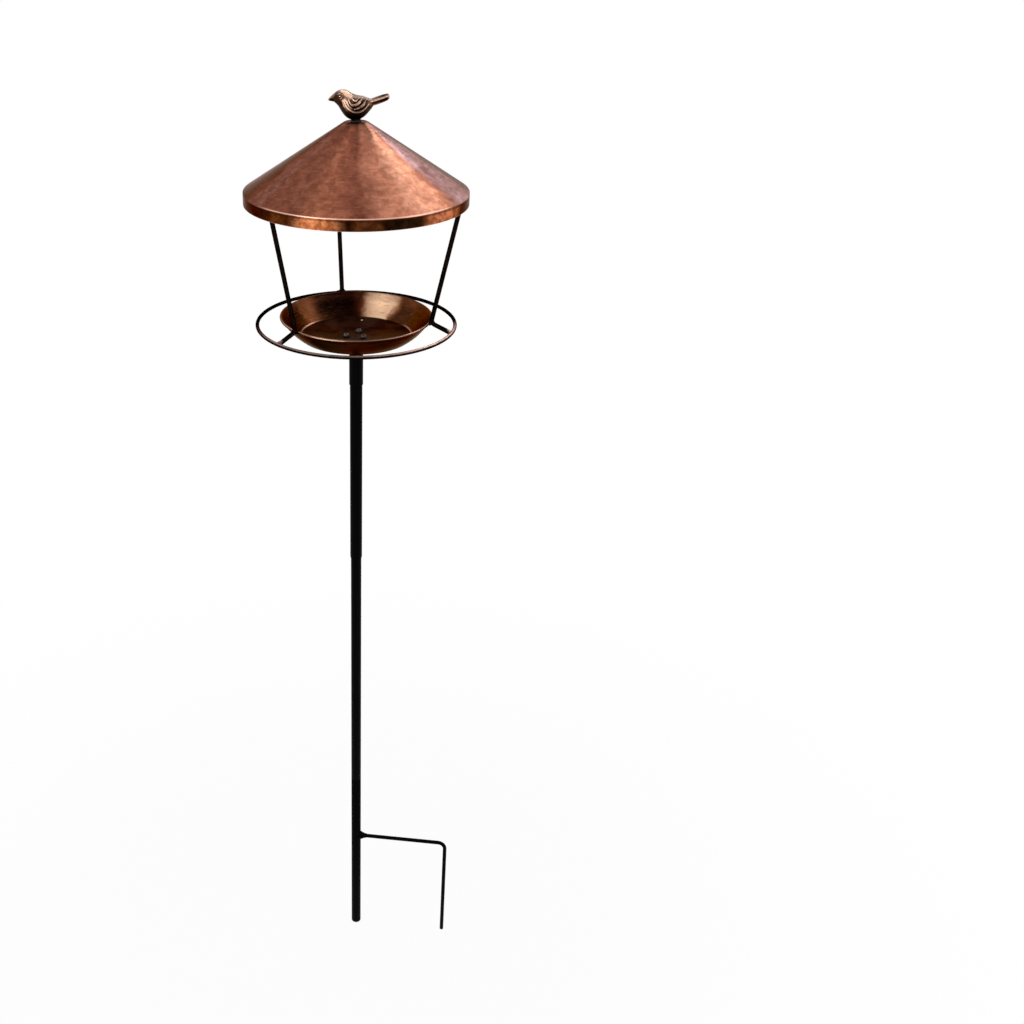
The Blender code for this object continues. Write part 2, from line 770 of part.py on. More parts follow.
foot = turned(
    "Foot",
    [
        (0, BIRD_Z + FOOT_H),
        (FOOT_R * 1.15, BIRD_Z + FOOT_H),
        (FOOT_R * 0.80, BIRD_Z + FOOT_H * 0.42),
        (FOOT_R, BIRD_Z + FOOT_H * 0.22),
        (FOOT_R, BIRD_Z),
        (0, BIRD_Z),
    ],
    SMALL_SPIN,
    closed=False,
    group=cutters,
)
boolean(bird, foot, "UNION")
bolt_bore = cylinder("Bolt_bore", bolt_hole, BIRD_Z - CUT_PAST, BIRD_Z + BORE_DEPTH)
boolean(bird, bolt_bore, "DIFFERENCE")
place(baked(bird, 50), head_body, (0, 0, 0), CAST)

for name in ("pole_lower", "pole_end_plug", "pole_middle", "pole_upper"):
    baked(bpy.data.objects[name])
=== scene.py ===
# %% [markdown]
# # A bird bath and feeder on a step-in pole
#
# The real thing is a copper dish and roof on a black pole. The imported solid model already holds
# every piece at its real size, so this script dresses it: each solid is remade as a smooth piece
# with its rolled edges, welds and seams, and gets a finish made of nodes.

# %% Load the solid model
import math

import bpy
from mathutils import Matrix, Vector


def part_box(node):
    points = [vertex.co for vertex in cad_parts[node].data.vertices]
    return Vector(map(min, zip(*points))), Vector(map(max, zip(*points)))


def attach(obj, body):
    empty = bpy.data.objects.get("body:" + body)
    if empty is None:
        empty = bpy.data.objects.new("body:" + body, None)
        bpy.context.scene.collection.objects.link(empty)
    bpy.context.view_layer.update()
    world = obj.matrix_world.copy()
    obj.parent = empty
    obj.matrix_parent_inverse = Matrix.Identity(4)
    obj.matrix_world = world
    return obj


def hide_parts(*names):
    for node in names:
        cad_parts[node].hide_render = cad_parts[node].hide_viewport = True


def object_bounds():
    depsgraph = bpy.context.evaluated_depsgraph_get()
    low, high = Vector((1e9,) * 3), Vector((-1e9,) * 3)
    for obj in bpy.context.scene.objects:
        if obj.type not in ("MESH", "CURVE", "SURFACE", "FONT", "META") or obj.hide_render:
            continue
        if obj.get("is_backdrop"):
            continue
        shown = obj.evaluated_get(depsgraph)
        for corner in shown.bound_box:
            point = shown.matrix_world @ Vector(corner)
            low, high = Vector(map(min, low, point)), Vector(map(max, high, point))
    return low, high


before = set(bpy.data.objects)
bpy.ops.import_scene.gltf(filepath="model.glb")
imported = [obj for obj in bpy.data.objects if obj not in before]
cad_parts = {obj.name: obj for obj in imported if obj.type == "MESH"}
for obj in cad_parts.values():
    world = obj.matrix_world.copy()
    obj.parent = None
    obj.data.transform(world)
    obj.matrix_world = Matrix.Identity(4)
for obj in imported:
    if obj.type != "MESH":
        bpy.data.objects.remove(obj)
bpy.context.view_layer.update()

# %% [markdown]
# ## Camera
#
# The picture looks down on the dish, from a little farther away than the pole is tall. The ellipses
# of the roof, ring and dish flatten by an amount that only one height and distance give, so the
# camera was fitted to them, and a sideways shift puts the pole left of the middle.

# %% The camera
camera_data = bpy.data.cameras.new("Camera")
camera_data.lens = 45.37
camera_data.sensor_width = 36.0
camera_data.shift_x = 0.1522
camera = bpy.data.objects.new("Camera", camera_data)
camera.location = (0.0, -1.7273, 1.7290)
camera.rotation_euler = (math.radians(90 - 27.52), 0.0, 0.0)
bpy.context.scene.collection.objects.link(camera)
bpy.context.scene.camera = camera
print("camera at", tuple(camera.location))

# %% [markdown]
# ## Places
#
# The solids give the heights that every new piece starts from. Reading them off the loaded boxes
# keeps the dressed pieces on the solids if a height changes.

# %% Heights and radii from the solids
sheet, gap, seat_depth = 0.0010, 0.0003, 0.0010
roof_low, roof_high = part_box("roof")
dish_low, dish_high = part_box("dish")
ring_low, ring_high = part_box("perch_ring")
hem_z = roof_low.z
crease_z = hem_z + 0.0160
apex_z = roof_high.z
roof_r = roof_high.x
rim_roll_r = 0.0025
dish_r = dish_high.x
rim_z = dish_high.z - rim_roll_r
ring_z = (ring_low.z + ring_high.z) / 2
wire_r = (ring_high.z - ring_low.z) / 2
ring_r = ring_high.x - wire_r
seat_z = dish_low.z + sheet
floor_z = seat_z + seat_depth
print("hem", round(hem_z, 4), "apex", round(apex_z, 4), "rim", round(rim_z, 4), "ring", round(ring_z, 4))
print("radii of roof, dish and ring", round(roof_r, 4), round(dish_r, 4), round(ring_r, 4))

# %% [markdown]
# ## Working on a mesh
#
# A modelled piece is cut, joined to its welds and copied to its places. These are the same steps
# that you would take by hand, each on the objects that are picked for it.

# %% Helpers for picking, cutting, joining and copying
def deselect_all():
    if bpy.context.object and bpy.context.object.mode != "OBJECT":
        bpy.ops.object.mode_set(mode="OBJECT")
    bpy.ops.object.select_all(action="DESELECT")


def pick(piece):
    deselect_all()
    piece.select_set(True)
    bpy.context.view_layer.objects.active = piece


def apply_modifier(piece, kind, **settings):
    pick(piece)
    change = piece.modifiers.new(kind.title(), kind)
    for name, value in settings.items():
        setattr(change, name, value)
    bpy.ops.object.modifier_apply(modifier=change.name)


def cut_out(piece, cutter):
    apply_modifier(piece, "BOOLEAN", operation="DIFFERENCE", object=cutter, solver="EXACT")


def hide_away(piece):
    bpy.data.objects.remove(piece, do_unlink=True)


def join_into(piece, *others):
    pick(piece)
    for one in others:
        one.select_set(True)
    bpy.ops.object.join()


def moved_copy(piece, name, matrix):
    copy = piece.copy()
    copy.data = piece.data.copy()
    copy.name = name
    copy.data.transform(matrix)
    bpy.context.scene.collection.objects.link(copy)
    return copy


def ball(name, place, size, turn=(0, 0, 0)):
    """A sphere with its own size along each axis, for welds and eyes."""
    deselect_all()
    bpy.ops.mesh.primitive_uv_sphere_add(segments=24, ring_count=16, radius=1, location=place, rotation=turn)
    piece = bpy.context.object
    piece.name = name
    piece.scale = size
    bpy.ops.object.transform_apply(location=True, rotation=True, scale=True)
    return piece


# %% [markdown]
# ## Turning sheet and tube
#
# Roof, dish, tubes, screws and washers are all round about one axis. By hand you would start with
# a circle and extrude it, scaling and lifting each new ring to follow the profile. The helper
# below does that with the same operators, so a profile is a list of radius and height pairs.

# %% A ring that is extruded along a profile
def turn_profile(name, profile, steps=96, closed=False):
    """Turns (radius, height) pairs about the pole's axis. A radius of 0 closes that end."""
    deselect_all()
    start = profile[0]
    ends = [start[0] == 0, profile[-1][0] == 0]
    rings = [p for p in profile if p[0] > 0]
    first = rings[0]
    bpy.ops.mesh.primitive_circle_add(vertices=steps, radius=first[0], location=(0, 0, first[1]))
    piece = bpy.context.object
    piece.name = name
    bpy.ops.object.transform_apply(location=True, rotation=True, scale=True)
    bpy.ops.object.mode_set(mode="EDIT")
    if ends[0]:
        bpy.ops.mesh.extrude_region_move(TRANSFORM_OT_translate={"value": (0, 0, start[1] - first[1])})
        bpy.ops.mesh.merge(type="CENTER")
        bpy.ops.object.mode_set(mode="OBJECT")
        for vert in piece.data.vertices:
            vert.select = math.hypot(vert.co.x, vert.co.y) > first[0] * 0.5
        for edge in piece.data.edges:
            edge.select = all(piece.data.vertices[v].select for v in edge.vertices)
        for face in piece.data.polygons:
            face.select = False
        bpy.ops.object.mode_set(mode="EDIT")
    path = rings[1:] + ([first] if closed else [])
    before = first
    for ring in path:
        bpy.ops.mesh.extrude_region_move(TRANSFORM_OT_translate={"value": (0, 0, ring[1] - before[1])})
        share = ring[0] / before[0]
        bpy.ops.transform.resize(value=(share, share, 1), center_override=(0, 0, ring[1]))
        before = ring
    if ends[1]:
        bpy.ops.mesh.extrude_region_move(
            TRANSFORM_OT_translate={"value": (0, 0, profile[-1][1] - before[1])}
        )
        bpy.ops.mesh.merge(type="CENTER")
    bpy.ops.mesh.select_all(action="SELECT")
    bpy.ops.mesh.remove_doubles(threshold=0.000002)
    bpy.ops.mesh.normals_make_consistent(inside=False)
    bpy.ops.object.mode_set(mode="OBJECT")
    return piece


def arc(centre, radius, start, end, count):
    """Points on an arc of a profile, between two angles in degrees."""
    angles = [math.radians(start + (end - start) * k / count) for k in range(count + 1)]
    return [(centre[0] + radius * math.cos(a), centre[1] + radius * math.sin(a)) for a in angles]


# %% [markdown]
# ## Bending wire
#
# A rod is a circle extruded along its axis and spun round the middle of each bend, just as a wire
# is bent over a pin. Spin turns against the right-hand rule here, so its angle is negative.

# %% A wire that is extruded and spun round its bends
def bend_wire(name, corners, bend, radius, sides=24, steps=10):
    corners = [Vector(c) for c in corners]
    way = (corners[1] - corners[0]).normalized()
    deselect_all()
    bpy.ops.mesh.primitive_circle_add(
        vertices=sides,
        radius=radius,
        location=corners[0],
        rotation=way.to_track_quat("Z", "Y").to_euler(),
    )
    piece = bpy.context.object
    piece.name = name
    bpy.ops.object.transform_apply(location=True, rotation=True, scale=True)
    bpy.ops.object.mode_set(mode="EDIT")
    at = corners[0]
    for before, corner, after in zip(corners, corners[1:], corners[2:]):
        arriving = (corner - before).normalized()
        leaving = (after - corner).normalized()
        turn = arriving.angle(leaving)
        cut = bend * math.tan(turn / 2)
        stop = corner - arriving * cut
        bpy.ops.mesh.extrude_region_move(TRANSFORM_OT_translate={"value": stop - at})
        axis = arriving.cross(leaving).normalized()
        pin = stop + axis.cross(arriving) * bend
        bpy.ops.mesh.spin(steps=steps, angle=-turn, center=pin, axis=axis)
        at = corner + leaving * cut
    bpy.ops.mesh.extrude_region_move(TRANSFORM_OT_translate={"value": corners[-1] - at})
    bpy.ops.mesh.select_all(action="SELECT")
    bpy.ops.mesh.remove_doubles(threshold=0.000002)
    bpy.ops.mesh.fill_holes(sides=0)
    bpy.ops.mesh.select_all(action="SELECT")
    bpy.ops.mesh.normals_make_consistent(inside=False)
    bpy.ops.object.mode_set(mode="OBJECT")
    apply_modifier(piece, "BEVEL", width=radius * 0.22, segments=2, limit_method="ANGLE")
    return piece


# %% [markdown]
# ## Finishing a piece
#
# A finished piece is shaded smooth up to the angle of its real edges, gets its material, moves
# with one part of the model and stands for the solid that it covers.

# %% A finished piece: what it rides on, stands for and is made of
def finish_piece(piece, body, look, node, degrees=35):
    pick(piece)
    bpy.ops.object.shade_smooth_by_angle(angle=math.radians(degrees))
    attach(piece, body)
    piece.data.materials.clear()
    piece.data.materials.append(look)
    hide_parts(node)
    print(piece.name, "with", len(piece.data.polygons), "faces rides on", body)


# %% [markdown]
# ## Wiring a finish
#
# Every finish is made of nodes, so nothing has to be painted by hand. A few helpers place the
# nodes, link them and lay one coat of colour over another, as a patina builds up on metal.

# %% Helpers for wiring nodes
def feed(tree, socket, value):
    """Links a socket, or sets its value. Three numbers for a colour get an alpha of 1."""
    if isinstance(value, bpy.types.NodeSocket):
        tree.links.new(value, socket)
    elif socket.type == "RGBA" and len(value) == 3:
        socket.default_value = (*value, 1.0)
    else:
        socket.default_value = value


def add(tree, kind, inputs=None, **settings):
    """A node with its settings, and with values or links for its inputs by name or number."""
    node = tree.nodes.new(kind)
    for key, value in settings.items():
        setattr(node, key, value)
    for key, value in (inputs or {}).items():
        feed(tree, node.inputs[key], value)
    return node


def maths(tree, operation, *values, clamp=False):
    inputs = dict(enumerate(values))
    return add(tree, "ShaderNodeMath", inputs, operation=operation, use_clamp=clamp).outputs[0]


def times(tree, first, second):
    return maths(tree, "MULTIPLY", first, second)


def sway(tree, noise, amount, value, clamp=False):
    """Moves a value up and down with a noise that lies about a half."""
    return maths(tree, "MULTIPLY_ADD", maths(tree, "SUBTRACT", noise, 0.5), amount, value, clamp=clamp)


def span(tree, value, low, high, out_low=0.0, out_high=1.0, smooth=True):
    """Maps a range of a value to another one, and holds it at the ends."""
    inputs = {"Value": value, "From Min": low, "From Max": high, "To Min": out_low, "To Max": out_high}
    kind = "SMOOTHSTEP" if smooth else "LINEAR"
    return add(tree, "ShaderNodeMapRange", inputs, interpolation_type=kind).outputs["Result"]


def between(tree, value, rise_low, rise_high, fall_low, fall_high):
    """A mask that rises over one range of a value and falls over another."""
    rising = span(tree, value, rise_low, rise_high)
    return times(tree, rising, span(tree, value, fall_low, fall_high, 1.0, 0.0))


def mixed(tree, share, first, second, blend="MIX"):
    """Mixes two colours."""
    inputs = {0: share, 6: first, 7: second}
    return add(tree, "ShaderNodeMix", inputs, data_type="RGBA", blend_type=blend).outputs[2]


def lay(tree, colour, *coats):
    """Lays coats over a colour. Each is a mask and the colour that it brings."""
    for mask, coat in coats:
        colour = mixed(tree, mask, colour, coat)
    return colour


def object_place(tree):
    """The shaded point, in the object's own coordinates."""
    return add(tree, "ShaderNodeTexCoord").outputs["Object"]


def xyz(tree, vector):
    return add(tree, "ShaderNodeSeparateXYZ", {0: vector}).outputs


def facing_up(tree):
    """1 where the surface faces up, and -1 where it faces down."""
    return xyz(tree, add(tree, "ShaderNodeNewGeometry").outputs["Normal"])[2]


# %% [markdown]
# ## Masks about the pole
#
# Painted highlights, painted reflections and painted shade lie on a turned piece in sectors. A
# zone is one soft sector, and a fan is a sector with its opposite, so the painted light repeats
# on the far side.

# %% Zones and fans
def zone(tree, turn, centre, half, soft):
    """A soft mask about one direction round the pole, in degrees from the front."""
    away = maths(tree, "ABSOLUTE", maths(tree, "SUBTRACT", turn, math.radians(centre)))
    return span(tree, away, math.radians(half), math.radians(half + soft), 1.0, 0.0)


def fan(tree, turn, centre, half, soft):
    """The same mask, and once more in the opposite direction."""
    away = maths(tree, "SUBTRACT", turn, math.radians(centre))
    folded = maths(tree, "ABSOLUTE", maths(tree, "WRAP", away, math.pi / 2, -math.pi / 2))
    return span(tree, folded, math.radians(half), math.radians(half + soft), 1.0, 0.0)


def lay_fans(tree, turn, colour, fans):
    """Lays fans over a colour: centre, half width and soft edge in degrees, strength, colour."""
    for centre, half, soft, strength, coat in fans:
        colour = mixed(tree, times(tree, fan(tree, turn, centre, half, soft), strength), colour, coat)
    return colour


# %% [markdown]
# ## Shared effects
#
# Brushing round a turned piece, blotches and pits appear in more than one finish, so each is a
# group of nodes with named inputs. The groups put out masks only. The shaders stay in the
# materials.

# %% The brushing group: streaks that run round the pole's axis
def new_group(name, inputs, outputs):
    """An empty group with numbers for its inputs and masks for its outputs."""
    tree = bpy.data.node_groups.new(name, "ShaderNodeTree")
    kind = "NodeSocketFloat"
    for label, value in inputs.items():
        tree.interface.new_socket(label, in_out="INPUT", socket_type=kind).default_value = value
    for label in outputs:
        tree.interface.new_socket(label, in_out="OUTPUT", socket_type=kind)
    entry = tree.nodes.new("NodeGroupInput")
    leave = tree.nodes.new("NodeGroupOutput")
    return tree, entry.outputs, leave.inputs


def group(tree, shared, **values):
    """The outputs of a shared group, which gets values for its inputs."""
    return add(tree, "ShaderNodeGroup", values, node_tree=shared).outputs


brush_inputs = {"Along": 9.0, "Across": 900.0, "Seed": 0.0}
brushing, entry, leave = new_group("Brushed_round", brush_inputs, ("Streaks", "Turn", "Radius", "Height"))
x, y, z = xyz(brushing, object_place(brushing))
squares = maths(brushing, "ADD", times(brushing, x, x), times(brushing, y, y))
radius = maths(brushing, "SQRT", maths(brushing, "ADD", squares, 1e-9))
round_x = times(brushing, maths(brushing, "DIVIDE", x, radius), entry["Along"])
round_y = times(brushing, maths(brushing, "DIVIDE", y, radius), entry["Along"])
across = maths(brushing, "MULTIPLY_ADD", radius, entry["Across"], entry["Seed"])
ways = add(brushing, "ShaderNodeCombineXYZ", {0: round_x, 1: round_y, 2: across}).outputs[0]
height = times(brushing, z, entry["Across"])
noise_inputs = {"Vector": ways, "W": height, "Scale": 1.0, "Detail": 3.0, "Roughness": 0.6}
streaks = add(brushing, "ShaderNodeTexNoise", noise_inputs, noise_dimensions="4D").outputs["Fac"]
turn = maths(brushing, "ARCTAN2", x, times(brushing, y, -1.0))
for label, mask in {"Streaks": streaks, "Turn": turn, "Radius": radius, "Height": z}.items():
    brushing.links.new(mask, leave[label])
print("group", brushing.name, "with", len(brushing.nodes), "nodes")

# %% [markdown]
# ## Blotches and pits
#
# Water and fingers leave soft patches on metal, and casting and wear leave small pits. A noise
# gives the patches, and the few cells of a Voronoi texture that are picked by chance the specks.

# %% The blotches group: soft patches, and small pits and specks
spot_inputs = {"Size": 30.0, "Pits": 260.0, "Seed": 0.0}
blotches, entry, leave = new_group("Blotches_and_pits", spot_inputs, ("Patches", "Specks", "Grit"))
seed = add(blotches, "ShaderNodeCombineXYZ", {0: entry["Seed"], 1: entry["Seed"], 2: 0.0}).outputs[0]
place = object_place(blotches)
moved = add(blotches, "ShaderNodeVectorMath", {0: place, 1: seed}, operation="ADD").outputs[0]
patch_inputs = {"Vector": moved, "Scale": entry["Size"], "Detail": 4.0, "Roughness": 0.6, "Distortion": 0.4}
patches = add(blotches, "ShaderNodeTexNoise", patch_inputs).outputs["Fac"]
cell_inputs = {"Vector": moved, "Scale": entry["Pits"], "Randomness": 1.0}
cells = add(blotches, "ShaderNodeTexVoronoi", cell_inputs, feature="F1")
rare = add(blotches, "ShaderNodeSeparateColor", {0: cells.outputs["Color"]}).outputs[0]
dots = span(blotches, cells.outputs["Distance"], 0.08, 0.30, 1.0, 0.0)
specks = times(blotches, dots, maths(blotches, "GREATER_THAN", rare, 0.80))
grit_inputs = {"Vector": moved, "Scale": times(blotches, entry["Pits"], 8.0), "Detail": 2.0}
grit = add(blotches, "ShaderNodeTexNoise", grit_inputs).outputs["Fac"]
for label, mask in {"Patches": patches, "Specks": specks, "Grit": grit}.items():
    blotches.links.new(mask, leave[label])
print("group", blotches.name, "with", len(blotches.nodes), "nodes")

# %% [markdown]
# ## A new finish
#
# Each finish is one Principled shader. Brushed sheet draws its highlights out along the brushing,
# so it also gets a tangent that runs round the pole.

# %% A new material, and what goes into its shader
def new_material(name, metallic, roughness):
    made = bpy.data.materials.new(name)
    made.use_nodes = True
    tree = made.node_tree
    dress(tree, {"Metallic": metallic, "Roughness": roughness})
    return made, tree


def dress(tree, inputs):
    for label, value in inputs.items():
        feed(tree, tree.nodes["Principled BSDF"].inputs[label], value)


def bump(tree, height, distance):
    inputs = {"Height": height, "Distance": distance, "Strength": 1.0}
    return add(tree, "ShaderNodeBump", inputs).outputs["Normal"]


def dress_brushed(tree, colour, rough, drawn_out, tint, relief, depth):
    streaks, specks = relief
    dress(tree, {
        "Base Color": colour,
        "Roughness": rough,
        "Anisotropic": drawn_out,
        "Anisotropic Rotation": 0.25,
        "Specular Tint": tint,
        "Tangent": add(tree, "ShaderNodeTangent", direction_type="RADIAL", axis="Z").outputs[0],
        "Normal": bump(tree, maths(tree, "SUBTRACT", streaks, times(tree, specks, 0.8)), depth),
    })


# %% [markdown]
# ## Copper for the roof
#
# The roof is brushed round, so it carries fine streaks. Zones of painted highlight, pale painted
# reflection and darker reddish painted shade run from the top to the edge. The band is warmer and
# patchy, with painted highlights, painted shade and a painted shadow under the crease.

# %% The roof's copper
def copper_roof():
    made, tree = new_material("antique_copper_roof", 1.0, 0.32)
    fine, turn, radius, height = group(tree, brushing, Along=9.0, Across=1300.0, Seed=3.0)
    broad = group(tree, brushing, Along=3.5, Across=330.0, Seed=11.0)[0]
    patches, specks, _ = group(tree, blotches, Size=17.0, Pits=150.0, Seed=4.0)
    clouds, glints, grit = group(tree, blotches, Size=6.0, Pits=430.0, Seed=9.0)
    blotch = span(tree, group(tree, blotches, Size=95.0, Pits=150.0, Seed=17.0)[0], 0.32, 0.64)
    waver = sway(tree, broad, 0.10, sway(tree, clouds, 0.45, turn))
    # Painted highlights, pale painted reflections and painted shade lie in zones that fan out from its top,
    # twice the same way round
    outwards = span(tree, radius, 0.030, 0.150, 0.25, 1.0, smooth=False)
    cone = mixed(tree, span(tree, clouds, 0.35, 0.65), (0.150, 0.047, 0.028), (0.225, 0.082, 0.052))
    cone = lay_fans(tree, waver, cone, (
        (-3, 6, 10, 0.70, (0.110, 0.034, 0.020)),
        (-17, 2, 14, outwards, (0.235, 0.085, 0.046)),
        (25, 8, 16, 1.00, (0.490, 0.200, 0.125)),
        (40, 6, 12, 1.00, (0.440, 0.215, 0.142)),
        (74, 10, 13, 0.95, (0.580, 0.400, 0.410)),
        (-59, 2, 10, 0.35, (0.260, 0.165, 0.155)),
        (-84, 6, 14, 0.92, (0.055, 0.036, 0.020)),
    ))
    cone = mixed(tree, span(tree, patches, 0.50, 0.72, 0.0, 0.50), cone, (0.120, 0.036, 0.022))
    # Handling left small blotches, darker and redder, all over the cone and the band
    cone_blotch = mixed(tree, blotch, (1.18, 1.16, 1.14), (0.76, 0.68, 0.66))
    cone = lay(
        tree,
        mixed(tree, 1.0, cone, cone_blotch, blend="MULTIPLY"),
        (span(tree, fine, 0.50, 0.74, 0.0, 0.30), (0.520, 0.240, 0.155)),
        (span(tree, broad, 0.52, 0.74, 0.0, 0.42), (0.095, 0.030, 0.017)),
        (times(tree, specks, 0.3), (0.060, 0.018, 0.010)),
        (times(tree, glints, 0.06), (0.85, 0.45, 0.30)),
        # painted shade under the bird, round the top of the cone
        (span(tree, radius, 0.0105, 0.0185, 0.85, 0.0), (0.026, 0.012, 0.008)),
    )
    # The band is browner and patchier than the cone
    band = mixed(tree, span(tree, patches, 0.42, 0.60), (0.130, 0.036, 0.009), (0.024, 0.006, 0.002))
    # Painted highlights at two places round the band, and painted shade between them
    band = lay_fans(tree, waver, band, (
        (-20, 3, 13, 1.0, (0.600, 0.215, 0.095)),
        (5, 4, 5, 1.0, (0.110, 0.034, 0.010)),
        (-58, 8, 10, 1.0, (0.030, 0.008, 0.002)),
        (23, 6, 9, 1.0, (0.012, 0.005, 0.002)),
        (72, 8, 8, 1.0, (0.034, 0.010, 0.003)),
        (46, 5, 11, 1.0, (0.560, 0.190, 0.095)),
    ))
    band = mixed(tree, span(tree, grit, 0.52, 0.60, 0.0, 0.30), band, (0.040, 0.012, 0.004))
    band_blotch = mixed(tree, blotch, (1.34, 1.32, 1.20), (0.56, 0.46, 0.34))
    band = mixed(tree, 1.0, band, band_blotch, blend="MULTIPLY")
    # A painted shadow along the top of the band, just under the crease
    painted_crease_shadow = span(tree, height, crease_z - 0.0050, crease_z - 0.0024, 0.0, 0.60)
    band = mixed(tree, painted_crease_shadow, band, (0.020, 0.006, 0.002))
    on_band = span(tree, height, crease_z - 0.0020, crease_z - 0.0004, 1.0, 0.0)
    # Painted highlight along the front of the crease, and a little along the hem
    crease = between(
        tree, height, crease_z - 0.0010, crease_z - 0.0002, crease_z + 0.0002, crease_z + 0.0010
    )
    crease = times(tree, crease, fan(tree, waver, 0, 42, 14))
    hem = span(tree, height, hem_z + 0.0006, hem_z + 0.0014, 0.5, 0.0)
    painted_highlight = times(tree, maths(tree, "MAXIMUM", crease, hem), 0.80)
    colour = lay(tree, cone, (on_band, band), (painted_highlight, (0.90, 0.52, 0.40)))
    rough = maths(tree, "MULTIPLY_ADD", fine, 0.20, 0.20)
    rough = maths(tree, "MULTIPLY_ADD", patches, 0.12, rough)
    dress_brushed(tree, colour, rough, 0.8, (0.60, 0.46, 0.42), (fine, specks), 0.00007)
    return made


roof_copper = copper_roof()
print("material", roof_copper.name)


# %% [markdown]
# ## Copper for the dish
#
# Inside, the dish is darker and redder than the roof, with painted shade and a painted bright
# reflection on its wall. The rolled rim carries a painted highlight along its front.

# %% The dish's copper
pip_place = Vector((0.0085, 0.0600, floor_z + 0.0003))


def copper_dish():
    made, tree = new_material("antique_copper_dish", 1.0, 0.30)
    fine, turn, radius, height = group(tree, brushing, Along=7.0, Across=1200.0, Seed=7.0)
    broad = group(tree, brushing, Along=3.0, Across=200.0, Seed=23.0)[0]
    patches, specks, _ = group(tree, blotches, Size=34.0, Pits=200.0, Seed=9.0)
    clouds = group(tree, blotches, Size=75.0, Pits=500.0, Seed=14.0)[0]
    waver = sway(tree, patches, 0.30, turn)
    patchy = span(tree, patches, 0.35, 0.65)
    # The fans come twice, so the back wall's 158 degrees is -22 here, and its -134 is 46
    wall = mixed(tree, patchy, (0.150, 0.046, 0.016), (0.055, 0.016, 0.006))
    # Dark fans of painted shade on the wall, and one warmer fan
    wall = lay_fans(tree, waver, wall, (
        (19, 13, 8, 1.0, (0.014, 0.004, 0.002)),
        (74, 12, 8, 1.0, (0.020, 0.006, 0.003)),
        (46, 1, 8, 1.0, (0.200, 0.066, 0.028)),
    ))
    # A painted reflection: a bright patch on the back wall, with a warm painted edge
    painted_sheen = fan(tree, waver, -22, 10, 7)
    painted_sheen_share = sway(tree, clouds, 0.9, 0.98, clamp=True)
    wall = lay(
        tree,
        wall,
        # painted shade low on the wall, near the floor
        (span(tree, height, floor_z + 0.004, floor_z + 0.015, 0.75, 0.0), (0.040, 0.014, 0.006)),
        (fan(tree, waver, -22, 13, 8), (0.400, 0.140, 0.060)),
        (times(tree, painted_sheen, painted_sheen_share), (1.000, 0.680, 0.440)),
        (span(tree, height, rim_z - 0.012, rim_z - 0.003, 0.0, 0.35), (0.110, 0.032, 0.014)),
        (span(tree, fine, 0.50, 0.74, 0.0, 0.22), (0.40, 0.17, 0.10)),
    )
    # Outside, the down-facing wall is painted near black as shade. It is browner, with an olive cast, and
    # has a painted shadow under the rim
    outside = span(tree, facing_up(tree), -0.15, 0.05, 1.0, 0.0)
    inside = maths(tree, "SUBTRACT", 1.0, outside)
    outer_wall = lay(
        tree,
        mixed(tree, patchy, (0.012, 0.009, 0.001), (0.002, 0.0015, 0.0004)),
        (fan(tree, waver, -2, 8, 16), (0.026, 0.007, 0.002)),
        # painted shadow under the rolled rim
        (span(tree, height, rim_z - 0.010, rim_z - 0.003, 0.0, 0.8), (0.006, 0.002, 0.001)),
    )
    # The floor is darker at the back, and paler and greyer at the front
    at = object_place(tree)
    floor_back_tone = mixed(tree, patchy, (0.012, 0.004, 0.003), (0.042, 0.017, 0.011))
    dusty = mixed(tree, patchy, (0.075, 0.052, 0.040), (0.110, 0.078, 0.062))
    floor = mixed(tree, span(tree, xyz(tree, at)[1], -0.040, 0.030, 0.85, 0.0), floor_back_tone, dusty)
    floor_mask = span(tree, radius, 0.0765, 0.0785, 1.0, 0.0)
    # Painted highlight along the bend round the floor, at the two sides
    bend = times(tree, between(tree, radius, 0.0770, 0.0780, 0.0786, 0.0796), inside)
    bend = times(tree, bend, fan(tree, turn, 84, 22, 20))
    # The rolled rim is painted darker, with a painted highlight along its front, and one pressed pip at the
    # back of the floor has a painted highlight
    rim = span(tree, height, rim_z + 0.0002, rim_z + 0.0016)
    near = span(tree, maths(tree, "ABSOLUTE", turn), math.radians(55), math.radians(100), 0.85, 0.12)
    from_pip = add(tree, "ShaderNodeVectorMath", {0: at, 1: pip_place}, operation="DISTANCE")
    colour = lay(
        tree,
        wall,
        (outside, outer_wall),
        (times(tree, floor_mask, inside), floor),
        (times(tree, bend, 0.8), (0.480, 0.270, 0.200)),
        (span(tree, broad, 0.52, 0.74, 0.0, 0.5), (0.050, 0.018, 0.010)),
        (times(tree, specks, 0.25), (0.025, 0.010, 0.007)),
        (rim, (0.030, 0.010, 0.006)),
        (times(tree, rim, near), (0.56, 0.33, 0.26)),
        (span(tree, from_pip.outputs["Value"], 0.0011, 0.0018, 1.0, 0.0), (0.90, 0.72, 0.66)),
    )
    rough = maths(tree, "MULTIPLY_ADD", floor_mask, 0.20, 0.20)
    rough = maths(tree, "MULTIPLY_ADD", fine, 0.20, rough)
    rough = maths(tree, "MULTIPLY_ADD", painted_sheen, 0.20, rough)
    dress_brushed(tree, colour, rough, 0.7, (0.60, 0.44, 0.34), (fine, specks), 0.00010)
    return made


dish_copper = copper_dish()
print("material", dish_copper.name)


# %% [markdown]
# ## Black powder coat
#
# The pole is powder coated. Close up, the coat has a fine orange peel, and dust makes it a little
# greyer in streaks up the pole.

